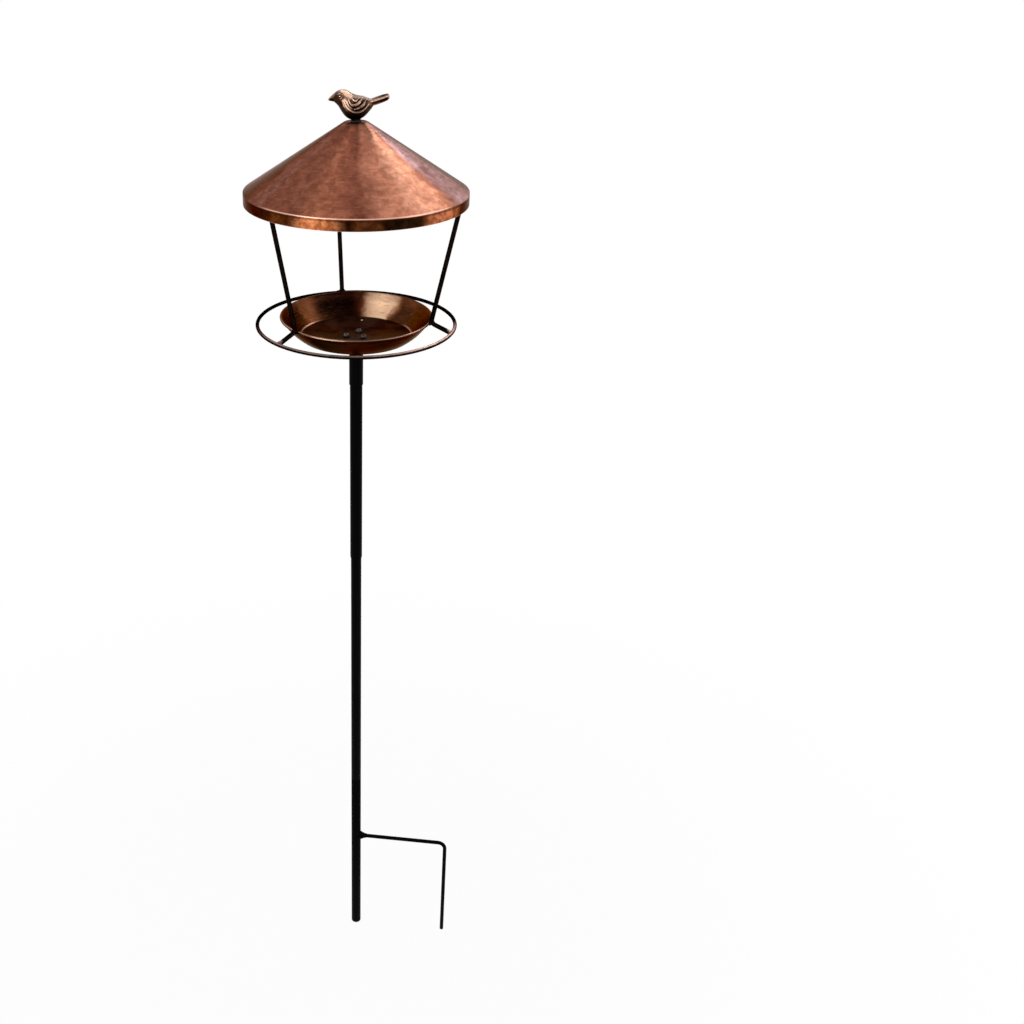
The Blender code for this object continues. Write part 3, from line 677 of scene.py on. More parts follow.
# %% The pole's powder coat
def powder_coat():
    made, tree = new_material("black_powder_coat", 0.0, 0.42)
    patches, specks, grit = group(tree, blotches, Size=40.0, Pits=420.0, Seed=2.0)
    tall_inputs = {"Vector": object_place(tree), "Scale": (420.0, 420.0, 5.0)}
    tall = add(tree, "ShaderNodeMapping", tall_inputs).outputs[0]
    dust = add(tree, "ShaderNodeTexNoise", {"Vector": tall, "Scale": 1.0, "Detail": 3.0}).outputs["Fac"]
    dusty = span(tree, dust, 0.50, 0.75, 0.0, 0.55)
    base = mixed(tree, dusty, (0.0009, 0.0009, 0.0009), (0.0040, 0.0038, 0.0036))
    dress(tree, {
        "Base Color": mixed(tree, times(tree, specks, 0.30), base, (0.016, 0.015, 0.014)),
        "Roughness": span(tree, patches, 0.3, 0.7, 0.36, 0.52),
        "IOR": 1.25,
        "Specular IOR Level": 0.06,
        "Normal": bump(tree, grit, 0.00006),
    })
    return made


pole_coat = powder_coat()
print("material", pole_coat.name)


# %% [markdown]
# ## Dark bronze
#
# The ring and the rods are painted a dark bronze. The ring's upper side carries a painted
# highlight, most of all at the front and right.

# %% Dark bronze for the rods and the ring
def dark_bronze():
    made, tree = new_material("dark_bronze", 1.0, 0.38)
    patches, _, grit = group(tree, blotches, Size=60.0, Pits=380.0, Seed=6.0)
    _, turn, radius, height = group(tree, brushing, Along=9.0, Across=900.0, Seed=5.0)
    # A painted highlight on the ring's upper side, at the front and right
    right = zone(tree, turn, 42, 26, 28)
    left = times(tree, zone(tree, turn, -24, 24, 40), 0.50)
    upper = span(tree, facing_up(tree), 0.35, 0.92)
    low = span(tree, height, rim_z - 0.006, rim_z, 1.0, 0.0)
    on_ring = span(tree, radius, ring_r - 0.007, ring_r - 0.004)
    highlit_area = times(tree, times(tree, upper, maths(tree, "MAXIMUM", right, left)), times(tree, low, on_ring))
    painted_highlight = times(tree, highlit_area, span(tree, patches, 0.25, 0.55, 0.55, 1.0))
    base = mixed(tree, span(tree, patches, 0.35, 0.70), (0.0035, 0.0022, 0.0020), (0.0095, 0.0050, 0.0040))
    dress(tree, {
        "Base Color": mixed(tree, times(tree, painted_highlight, 0.9), base, (0.760, 0.500, 0.430)),
        "Specular Tint": (0.28, 0.20, 0.18),
        "Roughness": span(tree, patches, 0.3, 0.7, 0.30, 0.48),
        "Normal": bump(tree, grit, 0.00005),
    })
    return made


bronze = dark_bronze()
print("material", bronze.name)


# %% [markdown]
# ## Small finishes
#
# Screws, nuts and washers are zinc plated, and damp has dulled them. The seals are rubber, and
# the plug in the stake is plastic. Both are a soft black.

# %% Dull zinc, rubber and plastic
def dull_zinc():
    made, tree = new_material("dull_zinc", 1.0, 0.42)
    patches, specks, grit = group(tree, blotches, Size=300.0, Pits=1500.0, Seed=1.0)
    base = mixed(tree, span(tree, patches, 0.35, 0.65), (0.045, 0.032, 0.026), (0.170, 0.135, 0.115))
    dress(tree, {
        "Base Color": mixed(tree, times(tree, specks, 0.7), base, (0.045, 0.022, 0.012)),
        "Roughness": span(tree, patches, 0.3, 0.7, 0.34, 0.55),
        "Normal": bump(tree, grit, 0.00003),
    })
    return made


def soft_black(name, grey, roughness, size):
    made, tree = new_material(name, 0.0, roughness)
    patches, _, grit = group(tree, blotches, Size=size, Pits=size * 6, Seed=5.0)
    dress(tree, {
        "Base Color": mixed(tree, span(tree, patches, 0.3, 0.7), (grey,) * 3, (grey * 2.2,) * 3),
        "Roughness": span(tree, patches, 0.3, 0.7, roughness - 0.08, roughness + 0.08),
        "Normal": bump(tree, grit, 0.00004),
    })
    return made


zinc = dull_zinc()
rubber = soft_black("black_rubber", 0.010, 0.75, 200.0)
plastic = soft_black("black_plastic", 0.012, 0.45, 120.0)
print("materials", zinc.name, rubber.name, plastic.name)

# %% [markdown]
# ## The pole
#
# Three tubes push into each other. The middle one has a rolled bead that the upper one rests on,
# and the lowest is swaged to a neck. Their cut ends are rounded, which shows as a fine line at
# each joint.

# %% The three tubes
def top_edge(radius, z, edge_r=0.0003):
    """A rounded outer edge at the upper end of a profile that runs downwards."""
    return arc((radius - edge_r, z - edge_r), edge_r, 90, 0, 3)


def low_edge(radius, z, edge_r=0.0003):
    """The same at its lower end."""
    return arc((radius - edge_r, z + edge_r), edge_r, 0, -90, 3)


lower_low, lower_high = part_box("pole_lower")
middle_low, middle_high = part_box("pole_middle")
upper_low, upper_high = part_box("pole_upper")
tube_wall = 0.0007
neck_r, stake_r, upper_r = 0.0071, 0.0080, 0.0090
middle_bore_r, upper_bore_r = 0.0074, upper_r - tube_wall
shoulder_z = middle_low.z - gap
bead_z, bead_r = upper_low.z - gap, 0.0008
stake_profile = top_edge(neck_r, lower_high.z) + [(neck_r, shoulder_z)]
stake_profile += top_edge(stake_r, shoulder_z) + low_edge(stake_r, lower_low.z)
stake_profile += [
    (stake_r - tube_wall, lower_low.z),
    (stake_r - tube_wall, shoulder_z - 0.0030),
    (neck_r - tube_wall, shoulder_z - 0.0010),
    (neck_r - tube_wall, lower_high.z),
]
middle_profile = top_edge(stake_r, middle_high.z) + [(stake_r, bead_z + 0.0001)]
middle_profile += arc((stake_r - 0.0001, bead_z - bead_r), bead_r, 85, -60, 6)
middle_profile += [(stake_r, bead_z - 0.0036)] + low_edge(stake_r, middle_low.z)
middle_profile += [(middle_bore_r, middle_low.z), (middle_bore_r, middle_high.z)]
upper_profile = top_edge(upper_r, upper_high.z) + low_edge(upper_r, upper_low.z)
upper_profile += [(upper_bore_r, upper_low.z), (upper_bore_r, upper_high.z)]
for name, profile, body, node in (
    ("stake_tube", stake_profile, "stake", "pole_lower"),
    ("middle_tube", middle_profile, "middle", "pole_middle"),
    ("upper_tube", upper_profile, "upper", "pole_upper"),
):
    tube = turn_profile(name, profile, 64, closed=True)
    finish_piece(tube, body, pole_coat, node)

# %% [markdown]
# ## The plug
#
# A plastic plug keeps soil out of the stake. Its shank sits inside the tube, and its rounded
# head closes the end.

# %% The plug in the stake's end
plug_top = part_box("pole_end_plug")[1].z
shank_r, head_top, head_r = 0.0070, 0.0020, 0.0012
plug_profile = [(0, plug_top), (0.0062, plug_top), (shank_r, plug_top - 0.0015), (shank_r, head_top)]
plug_profile += [(stake_r - 0.0001, head_top)] + arc((stake_r - head_r, head_r), head_r, 0, -90, 5)
plug_profile += [(0.0060, 0.0), (0, 0.0)]
plug = turn_profile("end_plug", plug_profile, 64)
finish_piece(plug, "stake", plastic, "pole_end_plug")

# %% [markdown]
# ## The prong
#
# A bent rod is welded to the stake. Its weld flares where it meets the tube, so the flare is a
# lathe profile turned on its side and bent to the tube.

# %% The prong and its weld
prong_turn = math.radians(-8.2)
prong_r = 0.00316
prong_reach, prong_height = 0.1542, 0.1980
out_way = Vector((math.cos(prong_turn), math.sin(prong_turn), 0))
arm_height = Vector((0, 0, prong_height))
prong_corners = [out_way * 0.0081 + arm_height, out_way * prong_reach + arm_height, out_way * prong_reach]
prong = bend_wire("step_prong", prong_corners, 0.0120, prong_r)
flare_profile = [(0, 0.0040), (0.0078, 0.0040), (0.0077, 0.0066), (0.0068, 0.0088), (0.0056, 0.0112)]
flare_profile += [(0.0046, 0.0138), (0.0038, 0.0166), (0.0032, 0.0192), (0.0029, 0.0200), (0, 0.0200)]
flare = turn_profile("Prong_weld", flare_profile, 32)
on_its_side = Matrix.Rotation(prong_turn, 4, "Z") @ Matrix.Rotation(math.radians(90), 4, "Y")
flare.data.transform(Matrix.Translation(arm_height) @ on_its_side)
join_into(prong, flare)
finish_piece(prong, "stake", pole_coat, "prong")

# %% [markdown]
# ## The socket and the flange
#
# A socket slips over the upper tube, and its flange carries the dish.

# %% The socket with its flange
flange_low, flange_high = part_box("flange_socket")
socket_r, socket_wall, flange_r, fillet_r = 0.0100, 0.0007, 0.0240, 0.0030
under_z = flange_high.z - 0.0030
socket_profile = [(0, flange_high.z)] + top_edge(flange_r, flange_high.z, 0.0004)
socket_profile += low_edge(flange_r, under_z, 0.0004)
socket_profile += arc((socket_r + fillet_r, under_z - fillet_r), fillet_r, 90, 180, 5)
socket_profile += low_edge(socket_r, flange_low.z)
socket_profile += [(socket_r - socket_wall, flange_low.z), (socket_r - socket_wall, under_z), (0, under_z)]
socket = turn_profile("dish_socket", socket_profile, 64)
finish_piece(socket, "head", pole_coat, "flange_socket")

# %% [markdown]
# ## The dish
#
# The dish is spun from one sheet: a flat floor with a pressed seat for the screws, a wall that
# bellies out a little, and a rim that is rolled outwards. Its underside is turned as an open
# profile, and Solidify gives the sheet its millimetre.

# %% The dish
def dish_underside():
    floor_r, bend_r, belly, steps = 0.0793, 0.0040, 0.0022, 8
    roll = rim_roll_r - sheet
    middle = Vector((dish_r - rim_roll_r, rim_z))
    outer_bend = bend_r + sheet
    below = floor_z - sheet
    seat = below - seat_depth
    corner = Vector((floor_r - bend_r, below + outer_bend))
    run, rise = middle - corner
    lean = math.degrees(math.atan2(rise, run) + math.asin((roll + outer_bend) / math.hypot(run, rise)))
    profile = arc(middle, roll, -150, lean + 90, 16)
    foot = arc(corner, outer_bend, lean - 90, -90, 6)
    top_point, foot_point = Vector(profile[-1]), Vector(foot[0])
    out = Vector((top_point.y - foot_point.y, foot_point.x - top_point.x)).normalized()
    for k in range(1, steps):
        bulge = belly * 4 * (k / steps) * (1 - k / steps)
        profile.append(tuple(top_point.lerp(foot_point, k / steps) + out * bulge))
    profile += foot
    profile += [(r, below) for r in (0.066, 0.055, 0.042, 0.032, 0.0270)]
    profile += [(0.0266, below - 0.0002), (0.0262, below - 0.0008)]
    profile += [(r, seat) for r in (0.0258, 0.020, 0.012, 0.005, 0)]
    return profile


dish = turn_profile("dish_bowl", dish_underside(), 160)
apply_modifier(dish, "SOLIDIFY", thickness=sheet, offset=-1, use_even_offset=True)
join_into(dish, ball("Pip", pip_place - Vector((0, 0, 0.0004)), (0.0015, 0.0015, 0.0008)))
finish_piece(dish, "head", dish_copper, "dish", degrees=60)

# %% [markdown]
# ## Screws, seals and nuts
#
# Three pan-head screws with cross slots hold the dish. One is modelled, with its slot cut by a
# Boolean, and copied to the other two places.

# %% The dish screws with their seals and nuts
screw_circle_r, first_screw = 0.0146, 75
head_z = seat_z + 0.0016
screw_profile = [(0, 0.0026), (0.0012, 0.00256), (0.0022, 0.0023), (0.0031, 0.0018), (0.0037, 0.0011)]
screw_profile += [(0.0040, 0.0004), (0.0039, 0.0), (0.0020, 0.0), (0.0020, -0.0107)]
screw_profile += [(0.0017, -0.0110), (0, -0.0110)]
screw = turn_profile("Screw_pattern", screw_profile, 32)
deselect_all()
bpy.ops.mesh.primitive_cube_add(size=1, location=(0, 0, 0.0026))
cutter = bpy.context.object
cutter.scale = (0.0042, 0.0009, 0.0022)
bpy.ops.object.transform_apply(location=True, rotation=True, scale=True)
cut_out(screw, cutter)
cutter.data.transform(Matrix.Rotation(math.radians(90), 4, "Z"))
cut_out(screw, cutter)
hide_away(cutter)
seal_profile = [(0.0050, 0.0008), (0.0048, 0.0010), (0.0023, 0.0010), (0.0023, 0), (0.0050, 0)]
seal = turn_profile("Seal_pattern", seal_profile, 40, closed=True)
nut_r, nut_bore_r = 0.0070 / math.sqrt(3), 0.0023
nut_profile = [(nut_r * 0.90, 0), (nut_r, -0.0004), (nut_r, -0.0028), (nut_r * 0.90, -0.0032)]
nut_profile += [(nut_bore_r, -0.0032), (nut_bore_r, 0)]
nut = turn_profile("Nut_pattern", nut_profile, 6, closed=True)
for index in (1, 2, 3):
    way = math.radians(first_screw + 120 * (index - 1))
    at_x, at_y = screw_circle_r * math.cos(way), screw_circle_r * math.sin(way)
    driven = Matrix.Rotation(math.radians(37 * index), 4, "Z")
    flat_out = Matrix.Rotation(math.atan2(at_y, at_x) + math.radians(30), 4, "Z")
    for pattern, name, z, turned, slot, look, node, degrees in (
        (screw, "floor_screw_", head_z, driven, "zinc_steel", zinc, "dish_screw_", 35),
        (seal, "screw_seal_", seat_z + gap, Matrix.Identity(4), "black_rubber", rubber, "seal_washer_", 35),
        (nut, "flange_nut_", under_z - gap, flat_out, "zinc_steel", zinc, "dish_nut_", 20),
    ):
        piece = moved_copy(pattern, name + str(index), Matrix.Translation((at_x, at_y, z)) @ turned)
        finish_piece(piece, "head", look, node + str(index), degrees=degrees)
for pattern in (screw, seal, nut):
    hide_away(pattern)

# %% [markdown]
# ## The perch ring
#
# The ring is a wire bent to a circle, and its two ends are butt welded.

# %% The perch ring
ring = turn_profile("perch_wire", arc((ring_r, ring_z), wire_r, 0, 360, 20)[:-1], 180, closed=True)
butt = math.radians(62)
butt_place = Vector((ring_r * math.cos(butt), ring_r * math.sin(butt), ring_z))
join_into(ring, ball("Butt_weld", butt_place, (wire_r + gap, 0.0022, wire_r + gap), (0, 0, butt)))
finish_piece(ring, "head", bronze, "perch_ring")

# %% [markdown]
# ## The rods
#
# Each rod lies along the inside of the roof, comes down leaning inwards to the rolled rim, and
# turns out to the ring. The knee lies where the bend just clears the rim, so it is found by
# moving it until both straight runs fit. One rod with its welds is copied to the other two places.

# %% The three rods
rod_r, rod_bend = 0.0032, 0.0070
slope_degrees = 33.3
slope = math.radians(slope_degrees)
rim_point = Vector((dish_r - rim_roll_r, 0, rim_z))
ring_point = Vector((ring_r, 0, ring_z))
touch = rim_roll_r + gap + rod_r
cone_way = Vector((-math.cos(slope), 0, math.sin(slope)))
sheet_side = Vector((math.sin(slope), 0, math.cos(slope)))
cone_point = Vector((roof_r, 0, crease_z)) - (sheet + gap + rod_r) * sheet_side
shoulder = cone_point + cone_way * (cone_point.x - (roof_r - 0.0054)) / math.cos(slope)
knee = rim_point + Vector((touch, 0, 0))
for _ in range(20):
    spoke = (ring_point - knee).normalized()
    up_way = (shoulder - knee).normalized()
    half = up_way.angle(spoke) / 2
    knee = rim_point + (up_way + spoke).normalized() * (touch - rod_bend / math.sin(half) + rod_bend)
rod_corners = [shoulder + cone_way * 0.0300, shoulder, knee, ring_point - spoke * (wire_r + gap)]
print("knee", [round(v, 4) for v in knee], "shoulder", [round(v, 4) for v in shoulder])
rod_pattern = bend_wire("Rod_pattern", rod_corners, rod_bend, rod_r)
spoke_lean = (0, -math.atan2(spoke.z, spoke.x), 0)
rod_lean = (0, math.atan2(up_way.x, up_way.z), 0)
on_rim = rim_point - (rim_point - knee).normalized() * (rim_roll_r + 0.0004)
welds = [
    ball("Ring_weld", ring_point - spoke * (wire_r + 0.0006), (0.0030, 0.0046, 0.0034), spoke_lean),
    ball("Rim_weld", on_rim, (0.0026, 0.0052, 0.0034), rod_lean),
    ball("Rim_weld", on_rim + up_way * 0.0022, (0.0020, 0.0036, 0.0034), rod_lean),
]
for run in (0.0080, 0.0260):
    for aside in (-0.0024, 0.0024):
        bead = shoulder + cone_way * run + sheet_side * (rod_r - 0.0006) + Vector((0, aside, 0))
        welds.append(ball("Roof_weld", bead, (0.0055, 0.0016, 0.0012), (0, slope, 0)))
join_into(rod_pattern, *welds)
for side, degrees in {"rear": 101, "left": 221, "right": 341}.items():
    rod = moved_copy(rod_pattern, "rod_" + side, Matrix.Rotation(math.radians(degrees), 4, "Z"))
    finish_piece(rod, "head", bronze, "leg_rod_" + side)
hide_away(rod_pattern)

# %% [markdown]
# ## The roof
#
# The roof is a cone with a rounded top and an upright band that is folded in at its lower edge.

# %% The roof
def roof_outside():
    top_r, top_bend, crease_r, steps = 0.0150, 0.0080, 0.0020, 12
    half_turn = top_bend * math.tan(slope / 2)
    cut = crease_r * math.tan((math.pi / 2 - slope) / 2)
    crease_middle = Vector((roof_r - crease_r, crease_z - cut))
    profile = [(0.0028, apex_z), (0.0070, apex_z)]
    profile += arc((top_r - half_turn, apex_z - top_bend), top_bend, 90, 90 - slope_degrees, 8)
    upper_end = Vector(profile[-1])
    lower_end = crease_middle + crease_r * Vector((math.sin(slope), math.cos(slope)))
    profile += [tuple(upper_end.lerp(lower_end, k / steps)) for k in range(1, steps)]
    profile += arc(crease_middle, crease_r, 90 - slope_degrees, 0, 6)
    return profile + [(roof_r, hem_z + up) for up in (0.0100, 0.0040, 0.0006)]


roof = turn_profile("roof_cone", roof_outside(), 180)
apply_modifier(roof, "SOLIDIFY", thickness=sheet, offset=-1, use_even_offset=True)
finish_piece(roof, "head", roof_copper, "roof", degrees=40)

# %% [markdown]
# ## What holds the bird
#
# A bolt comes up through the roof into the bird, with a washer under the sheet and a rubber
# gasket on top, which keeps rain out.

# %% The bolt with its washer, and the gasket under the bird
bolt_hole_r, ring_outer_r = 0.0028, 0.0070
for name, slot, look, node in (
    ("bird_gasket", "black_rubber", rubber, "finial_gasket"),
    ("roof_washer", "zinc_steel", zinc, "finial_washer"),
):
    flat_low, flat_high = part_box(node)
    flat_profile = [(ring_outer_r, flat_high.z), (ring_outer_r, flat_low.z)]
    flat_profile += [(bolt_hole_r, flat_low.z), (bolt_hole_r, flat_high.z)]
    finish_piece(turn_profile(name, flat_profile, 48, closed=True), "head", look, node)
bolt_low, bolt_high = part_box("finial_bolt")
bolt_head_top = flat_low.z - gap
flat_r, bolt_r = 0.0080 / math.sqrt(3), 0.0025
bolt_profile = [(0, bolt_low.z), (flat_r * 0.84, bolt_low.z), (flat_r, bolt_low.z + 0.0005)]
bolt_profile += [(flat_r, bolt_head_top), (bolt_r, bolt_head_top), (bolt_r, bolt_high.z), (0, bolt_high.z)]
bolt = turn_profile("roof_bolt", bolt_profile, 6)
finish_piece(bolt, "head", zinc, "finial_bolt", degrees=20)

# %% [markdown]
# ## The bird
#
# The bird is cast: a plump body, a raised wing with curved feathers, a long tail, and a short
# neck below that stands on the roof. By hand you would block it out with simple closed forms and
# melt them together, and so does this: the body and tail are lofted, the feathers are tapered
# ridges laid on the body, and a voxel Remesh joins them all into one casting.

# %% The bird's measures, and a loft along its length
bird_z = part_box("bird_finial")[0].z
bird_length, bird_height, bird_width = 0.0805, 0.0393, 0.0275


def bird_point(along, across, up):
    """A place on the bird, in shares of its length, width and height."""
    return Vector((along * bird_length, across * bird_width, bird_z + up * bird_height))


def loft(name, sections, sides=24):
    """Extrudes a disc through sections of (middle, half width, half height, tilt in degrees)."""
    deselect_all()
    middle, wide, high, tilt = sections[0]
    upright = (0, math.radians(90), 0)
    bpy.ops.mesh.primitive_circle_add(
        vertices=sides, radius=wide, fill_type="NGON", location=middle, rotation=upright
    )
    piece = bpy.context.object
    piece.name = name
    bpy.ops.object.transform_apply(location=True, rotation=True, scale=True)
    bpy.ops.object.mode_set(mode="EDIT")
    bpy.ops.mesh.select_all(action="SELECT")
    bpy.ops.transform.resize(value=(1, 1, high / wide), center_override=middle)
    bpy.ops.transform.rotate(value=-math.radians(tilt), orient_axis="Y", center_override=middle)
    for place, new_wide, new_high, new_tilt in sections[1:]:
        bpy.ops.mesh.extrude_region_move(TRANSFORM_OT_translate={"value": place - middle})
        bpy.ops.transform.rotate(value=math.radians(tilt), orient_axis="Y", center_override=place)
        bpy.ops.transform.resize(value=(1, new_wide / wide, new_high / high), center_override=place)
        bpy.ops.transform.rotate(value=-math.radians(new_tilt), orient_axis="Y", center_override=place)
        middle, wide, high, tilt = place, new_wide, new_high, new_tilt
    bpy.ops.mesh.select_all(action="SELECT")
    bpy.ops.mesh.normals_make_consistent(inside=False)
    bpy.ops.object.mode_set(mode="OBJECT")
    return piece


# %% [markdown]
# ## The bird's body
#
# The outline is given as pairs of points, one on the back and one on the belly, with half the
# width between them. Each pair is a section of the loft, tilted as the pair leans.

# %% The bird's body
body_sections = []
for top_x, top_z, low_x, low_z, half_width in (
    (-0.392, 0.730, -0.388, 0.660, 0.050),
    (-0.375, 0.795, -0.368, 0.615, 0.110),
    (-0.332, 0.920, -0.342, 0.560, 0.215),
    (-0.232, 1.010, -0.298, 0.490, 0.325),
    (-0.142, 0.970, -0.258, 0.350, 0.385),
    (-0.070, 0.860, -0.192, 0.130, 0.475),
    (0.006, 0.810, -0.092, 0.000, 0.520),
    (0.084, 0.790, 0.040, 0.000, 0.510),
    (0.158, 0.745, 0.148, 0.120, 0.410),
    (0.227, 0.690, 0.230, 0.330, 0.275),
    (0.285, 0.690, 0.290, 0.470, 0.185),
):
    top, low = bird_point(top_x, 0, top_z), bird_point(low_x, 0, low_z)
    tilt = math.degrees(math.atan2(top.x - low.x, top.z - low.z))
    body_sections.append(((top + low) / 2, half_width * bird_width, (top - low).length / 2, tilt))
body = loft("Bird_body", body_sections)
apply_modifier(body, "SUBSURF", levels=2, render_levels=2)
print("body", [round(v * 1000, 1) for v in body.dimensions], "mm")


# %% [markdown]
# ## The wings
#
# Each wing is four curved ridges that lie on the flank, thick in the middle and thin at the ends.
# A ray that is cast at the body finds the height of the flank for each point.

# %% Feathers laid on the body
def on_side(along, up, side, out=0.0):
    """The place on the body's flank that this share of length and height meets."""
    start = bird_point(along, side * 2, up)
    found, place, normal, _ = body.ray_cast(start, Vector((0, -side, 0)))
    if not found:
        print("no flank at", along, up)
        return bird_point(along, side * 0.1, up)
    return place + normal * out


def ridge(name, places, thick):
    """A round ridge through places, thin at both ends."""
    path = bpy.data.curves.new(name, "CURVE")
    path.dimensions = "3D"
    path.resolution_u = 6
    path.bevel_depth = thick
    path.bevel_resolution = 3
    path.use_fill_caps = True
    line = path.splines.new("NURBS")
    line.points.add(len(places) - 1)
    line.order_u = 3
    line.use_endpoint_u = True
    for index, place in enumerate(places):
        share = index / (len(places) - 1)
        line.points[index].co = (*place, 1.0)
        line.points[index].radius = 0.20 + 0.80 * math.sin(math.pi * (0.02 + share * 0.96)) ** 0.6
    piece = bpy.data.objects.new(name, path)
    bpy.context.scene.collection.objects.link(piece)
    pick(piece)
    bpy.ops.object.convert(target="MESH")
    return bpy.context.object


feather_lines = {
    "shoulder": (0.0023, [
        (-0.122, 0.700), (-0.095, 0.560), (-0.035, 0.510), (0.025, 0.560), (0.072, 0.640), (0.110, 0.750),
    ]),
    "middle": (0.0022, [(-0.035, 0.405), (0.030, 0.425), (0.090, 0.490), (0.135, 0.575), (0.165, 0.690)]),
    "lower": (0.0018, [
        (-0.190, 0.640), (-0.160, 0.480), (-0.095, 0.360), (-0.020, 0.300), (0.065, 0.310), (0.145, 0.410),
        (0.205, 0.560),
    ]),
    "covert": (0.0017, [(-0.070, 0.730), (-0.030, 0.640), (0.015, 0.660), (0.055, 0.760)]),
}
forms = [body]
for side in (-1, 1):
    for label, (thick, line) in feather_lines.items():
        places = [on_side(along, up, side, thick * 0.10) for along, up in line]
        forms.append(ridge("Feather_" + label, places, thick))
print(len(forms) - 1, "feathers laid on the body")

# %% [markdown]
# ## The tail
#
# The tail is a flat bar that widens towards its end. Three ridges on top and two below show its
# feathers.

# %% The tail, a lofted bar with ridges along it
tail_sections = [
    (bird_point(along, 0, up), wide * bird_width, high * bird_height, -12)
    for along, up, high, wide in (
        (0.160, 0.500, 0.130, 0.200),
        (0.300, 0.600, 0.100, 0.215),
        (0.430, 0.690, 0.092, 0.245),
        (0.500, 0.742, 0.092, 0.260),
        (0.525, 0.760, 0.078, 0.240),
        (0.536, 0.768, 0.045, 0.190),
    )
]
tail = loft("Bird_tail", tail_sections, 16)
apply_modifier(tail, "SUBSURF", levels=1, render_levels=1)
forms.append(tail)
for across, lift, thick in (
    (0.0, 0.095, 0.0017),
    (0.22, 0.040, 0.0016),
    (-0.22, 0.040, 0.0016),
    (0.15, -0.080, 0.0011),
    (-0.15, -0.080, 0.0011),
):
    places = [
        bird_point(along, across * (1 + along * 0.35), up + lift)
        for along, up in ((0.170, 0.530), (0.260, 0.575), (0.360, 0.645), (0.450, 0.708), (0.515, 0.752))
    ]
    forms.append(ridge("Tail_feather", places, thick))
print(len(forms), "forms with the tail")

# %% [markdown]
# ## Beak, eyes and neck
#
# The beak is two cones, the upper one longer. Each eye is a small ball in a hollow that is cut
# into the body, under a thin brow, and a short waisted neck stands on the roof.

# %% The beak, the eyes and the neck under the body
for low_end, high_end, thick in (
    ((-0.340, 0, 0.745), (-0.4584, 0, 0.655), 0.0046),
    ((-0.345, 0, 0.665), (-0.4400, 0, 0.630), 0.0032),
):
    back, tip = bird_point(*low_end), bird_point(*high_end)
    deselect_all()
    bpy.ops.mesh.primitive_cone_add(
        vertices=20,
        radius1=thick,
        radius2=0.0004,
        depth=(tip - back).length,
        location=(back + tip) / 2,
        rotation=(tip - back).to_track_quat("Z", "Y").to_euler(),
    )
    forms.append(bpy.context.object)
    bpy.ops.object.transform_apply(location=True, rotation=True, scale=True)
eyes = [on_side(-0.262, 0.790, side) for side in (-1, 1)]
for eye in eyes:
    socket = ball("Socket", eye, (0.0026, 0.0013, 0.0020))
    cut_out(body, socket)
    hide_away(socket)
brow_line = ((-0.325, 0.800), (-0.290, 0.860), (-0.245, 0.870), (-0.205, 0.820))
for side, eye in zip((-1, 1), eyes):
    forms.append(ball("Eye", eye - Vector((0, side * 0.0008, 0)), (0.0013, 0.0013, 0.0013)))
    forms.append(ridge("Brow", [on_side(along, up, side) for along, up in brow_line], 0.0009))
foot_r, foot_h = 0.0062, 0.0050
foot_profile = [(0, bird_z + foot_h), (foot_r * 1.15, bird_z + foot_h)]
foot_profile += [(foot_r * 0.80, bird_z + foot_h * 0.42), (foot_r, bird_z + foot_h * 0.22)]
foot_profile += [(foot_r, bird_z), (0, bird_z)]
forms.append(turn_profile("Bird_neck", foot_profile, 32))
print(len(forms), "forms in the bird")

# %% [markdown]
# ## One casting
#
# Voxels of 0.4 mm melt the blocked-out forms into one skin, and a little smoothing takes off
# their steps. A hole for the bolt is then drilled up from below.

# %% The forms joined, melted and drilled
join_into(*forms)
bird = bpy.context.object
bird.name = "cast_bird"
apply_modifier(bird, "REMESH", mode="VOXEL", voxel_size=0.0004, adaptivity=0.0)
apply_modifier(bird, "SMOOTH", factor=0.5, iterations=3)
deselect_all()
bpy.ops.mesh.primitive_cylinder_add(vertices=32, radius=bolt_hole_r, depth=0.034, location=(0, 0, bird_z))
bore = bpy.context.object
bpy.ops.object.transform_apply(location=True, rotation=True, scale=True)
cut_out(bird, bore)
hide_away(bore)
print("cast bird", len(bird.data.polygons), "faces,", [round(v, 4) for v in bird.dimensions])

# %% [markdown]
# ## Where the patina stays
#
# An antique finish is dark in the hollows and rubbed bright on the ridges. A copy of the bird is
# smoothed a lot, and each point is compared with it: a point that lies below the smooth copy is
# in a hollow. The result is kept on the mesh as an attribute, which the material reads. A second
# attribute keeps how near each point is to lines of painted highlight, at the nape and breast, or
# of painted shade, round and below the eye.

# %% The hollows, and the lines of painted light and shade on the bird
def held(value):
    """A value held between 0 and 1."""
    return max(0.0, min(1.0, value))


def mark_hollows(piece, rounds, depth):
    softer = moved_copy(piece, "Softer", Matrix.Identity(4))
    apply_modifier(softer, "SMOOTH", factor=0.6, iterations=rounds)
    marks = piece.data.attributes.new("Hollows", "FLOAT", "POINT")
    normals = [vert.normal.copy() for vert in piece.data.vertices]
    for index, vert in enumerate(piece.data.vertices):
        below = (softer.data.vertices[index].co - vert.co).dot(normals[index])
        marks.data[index].value = held(0.5 + below / depth)
    hide_away(softer)


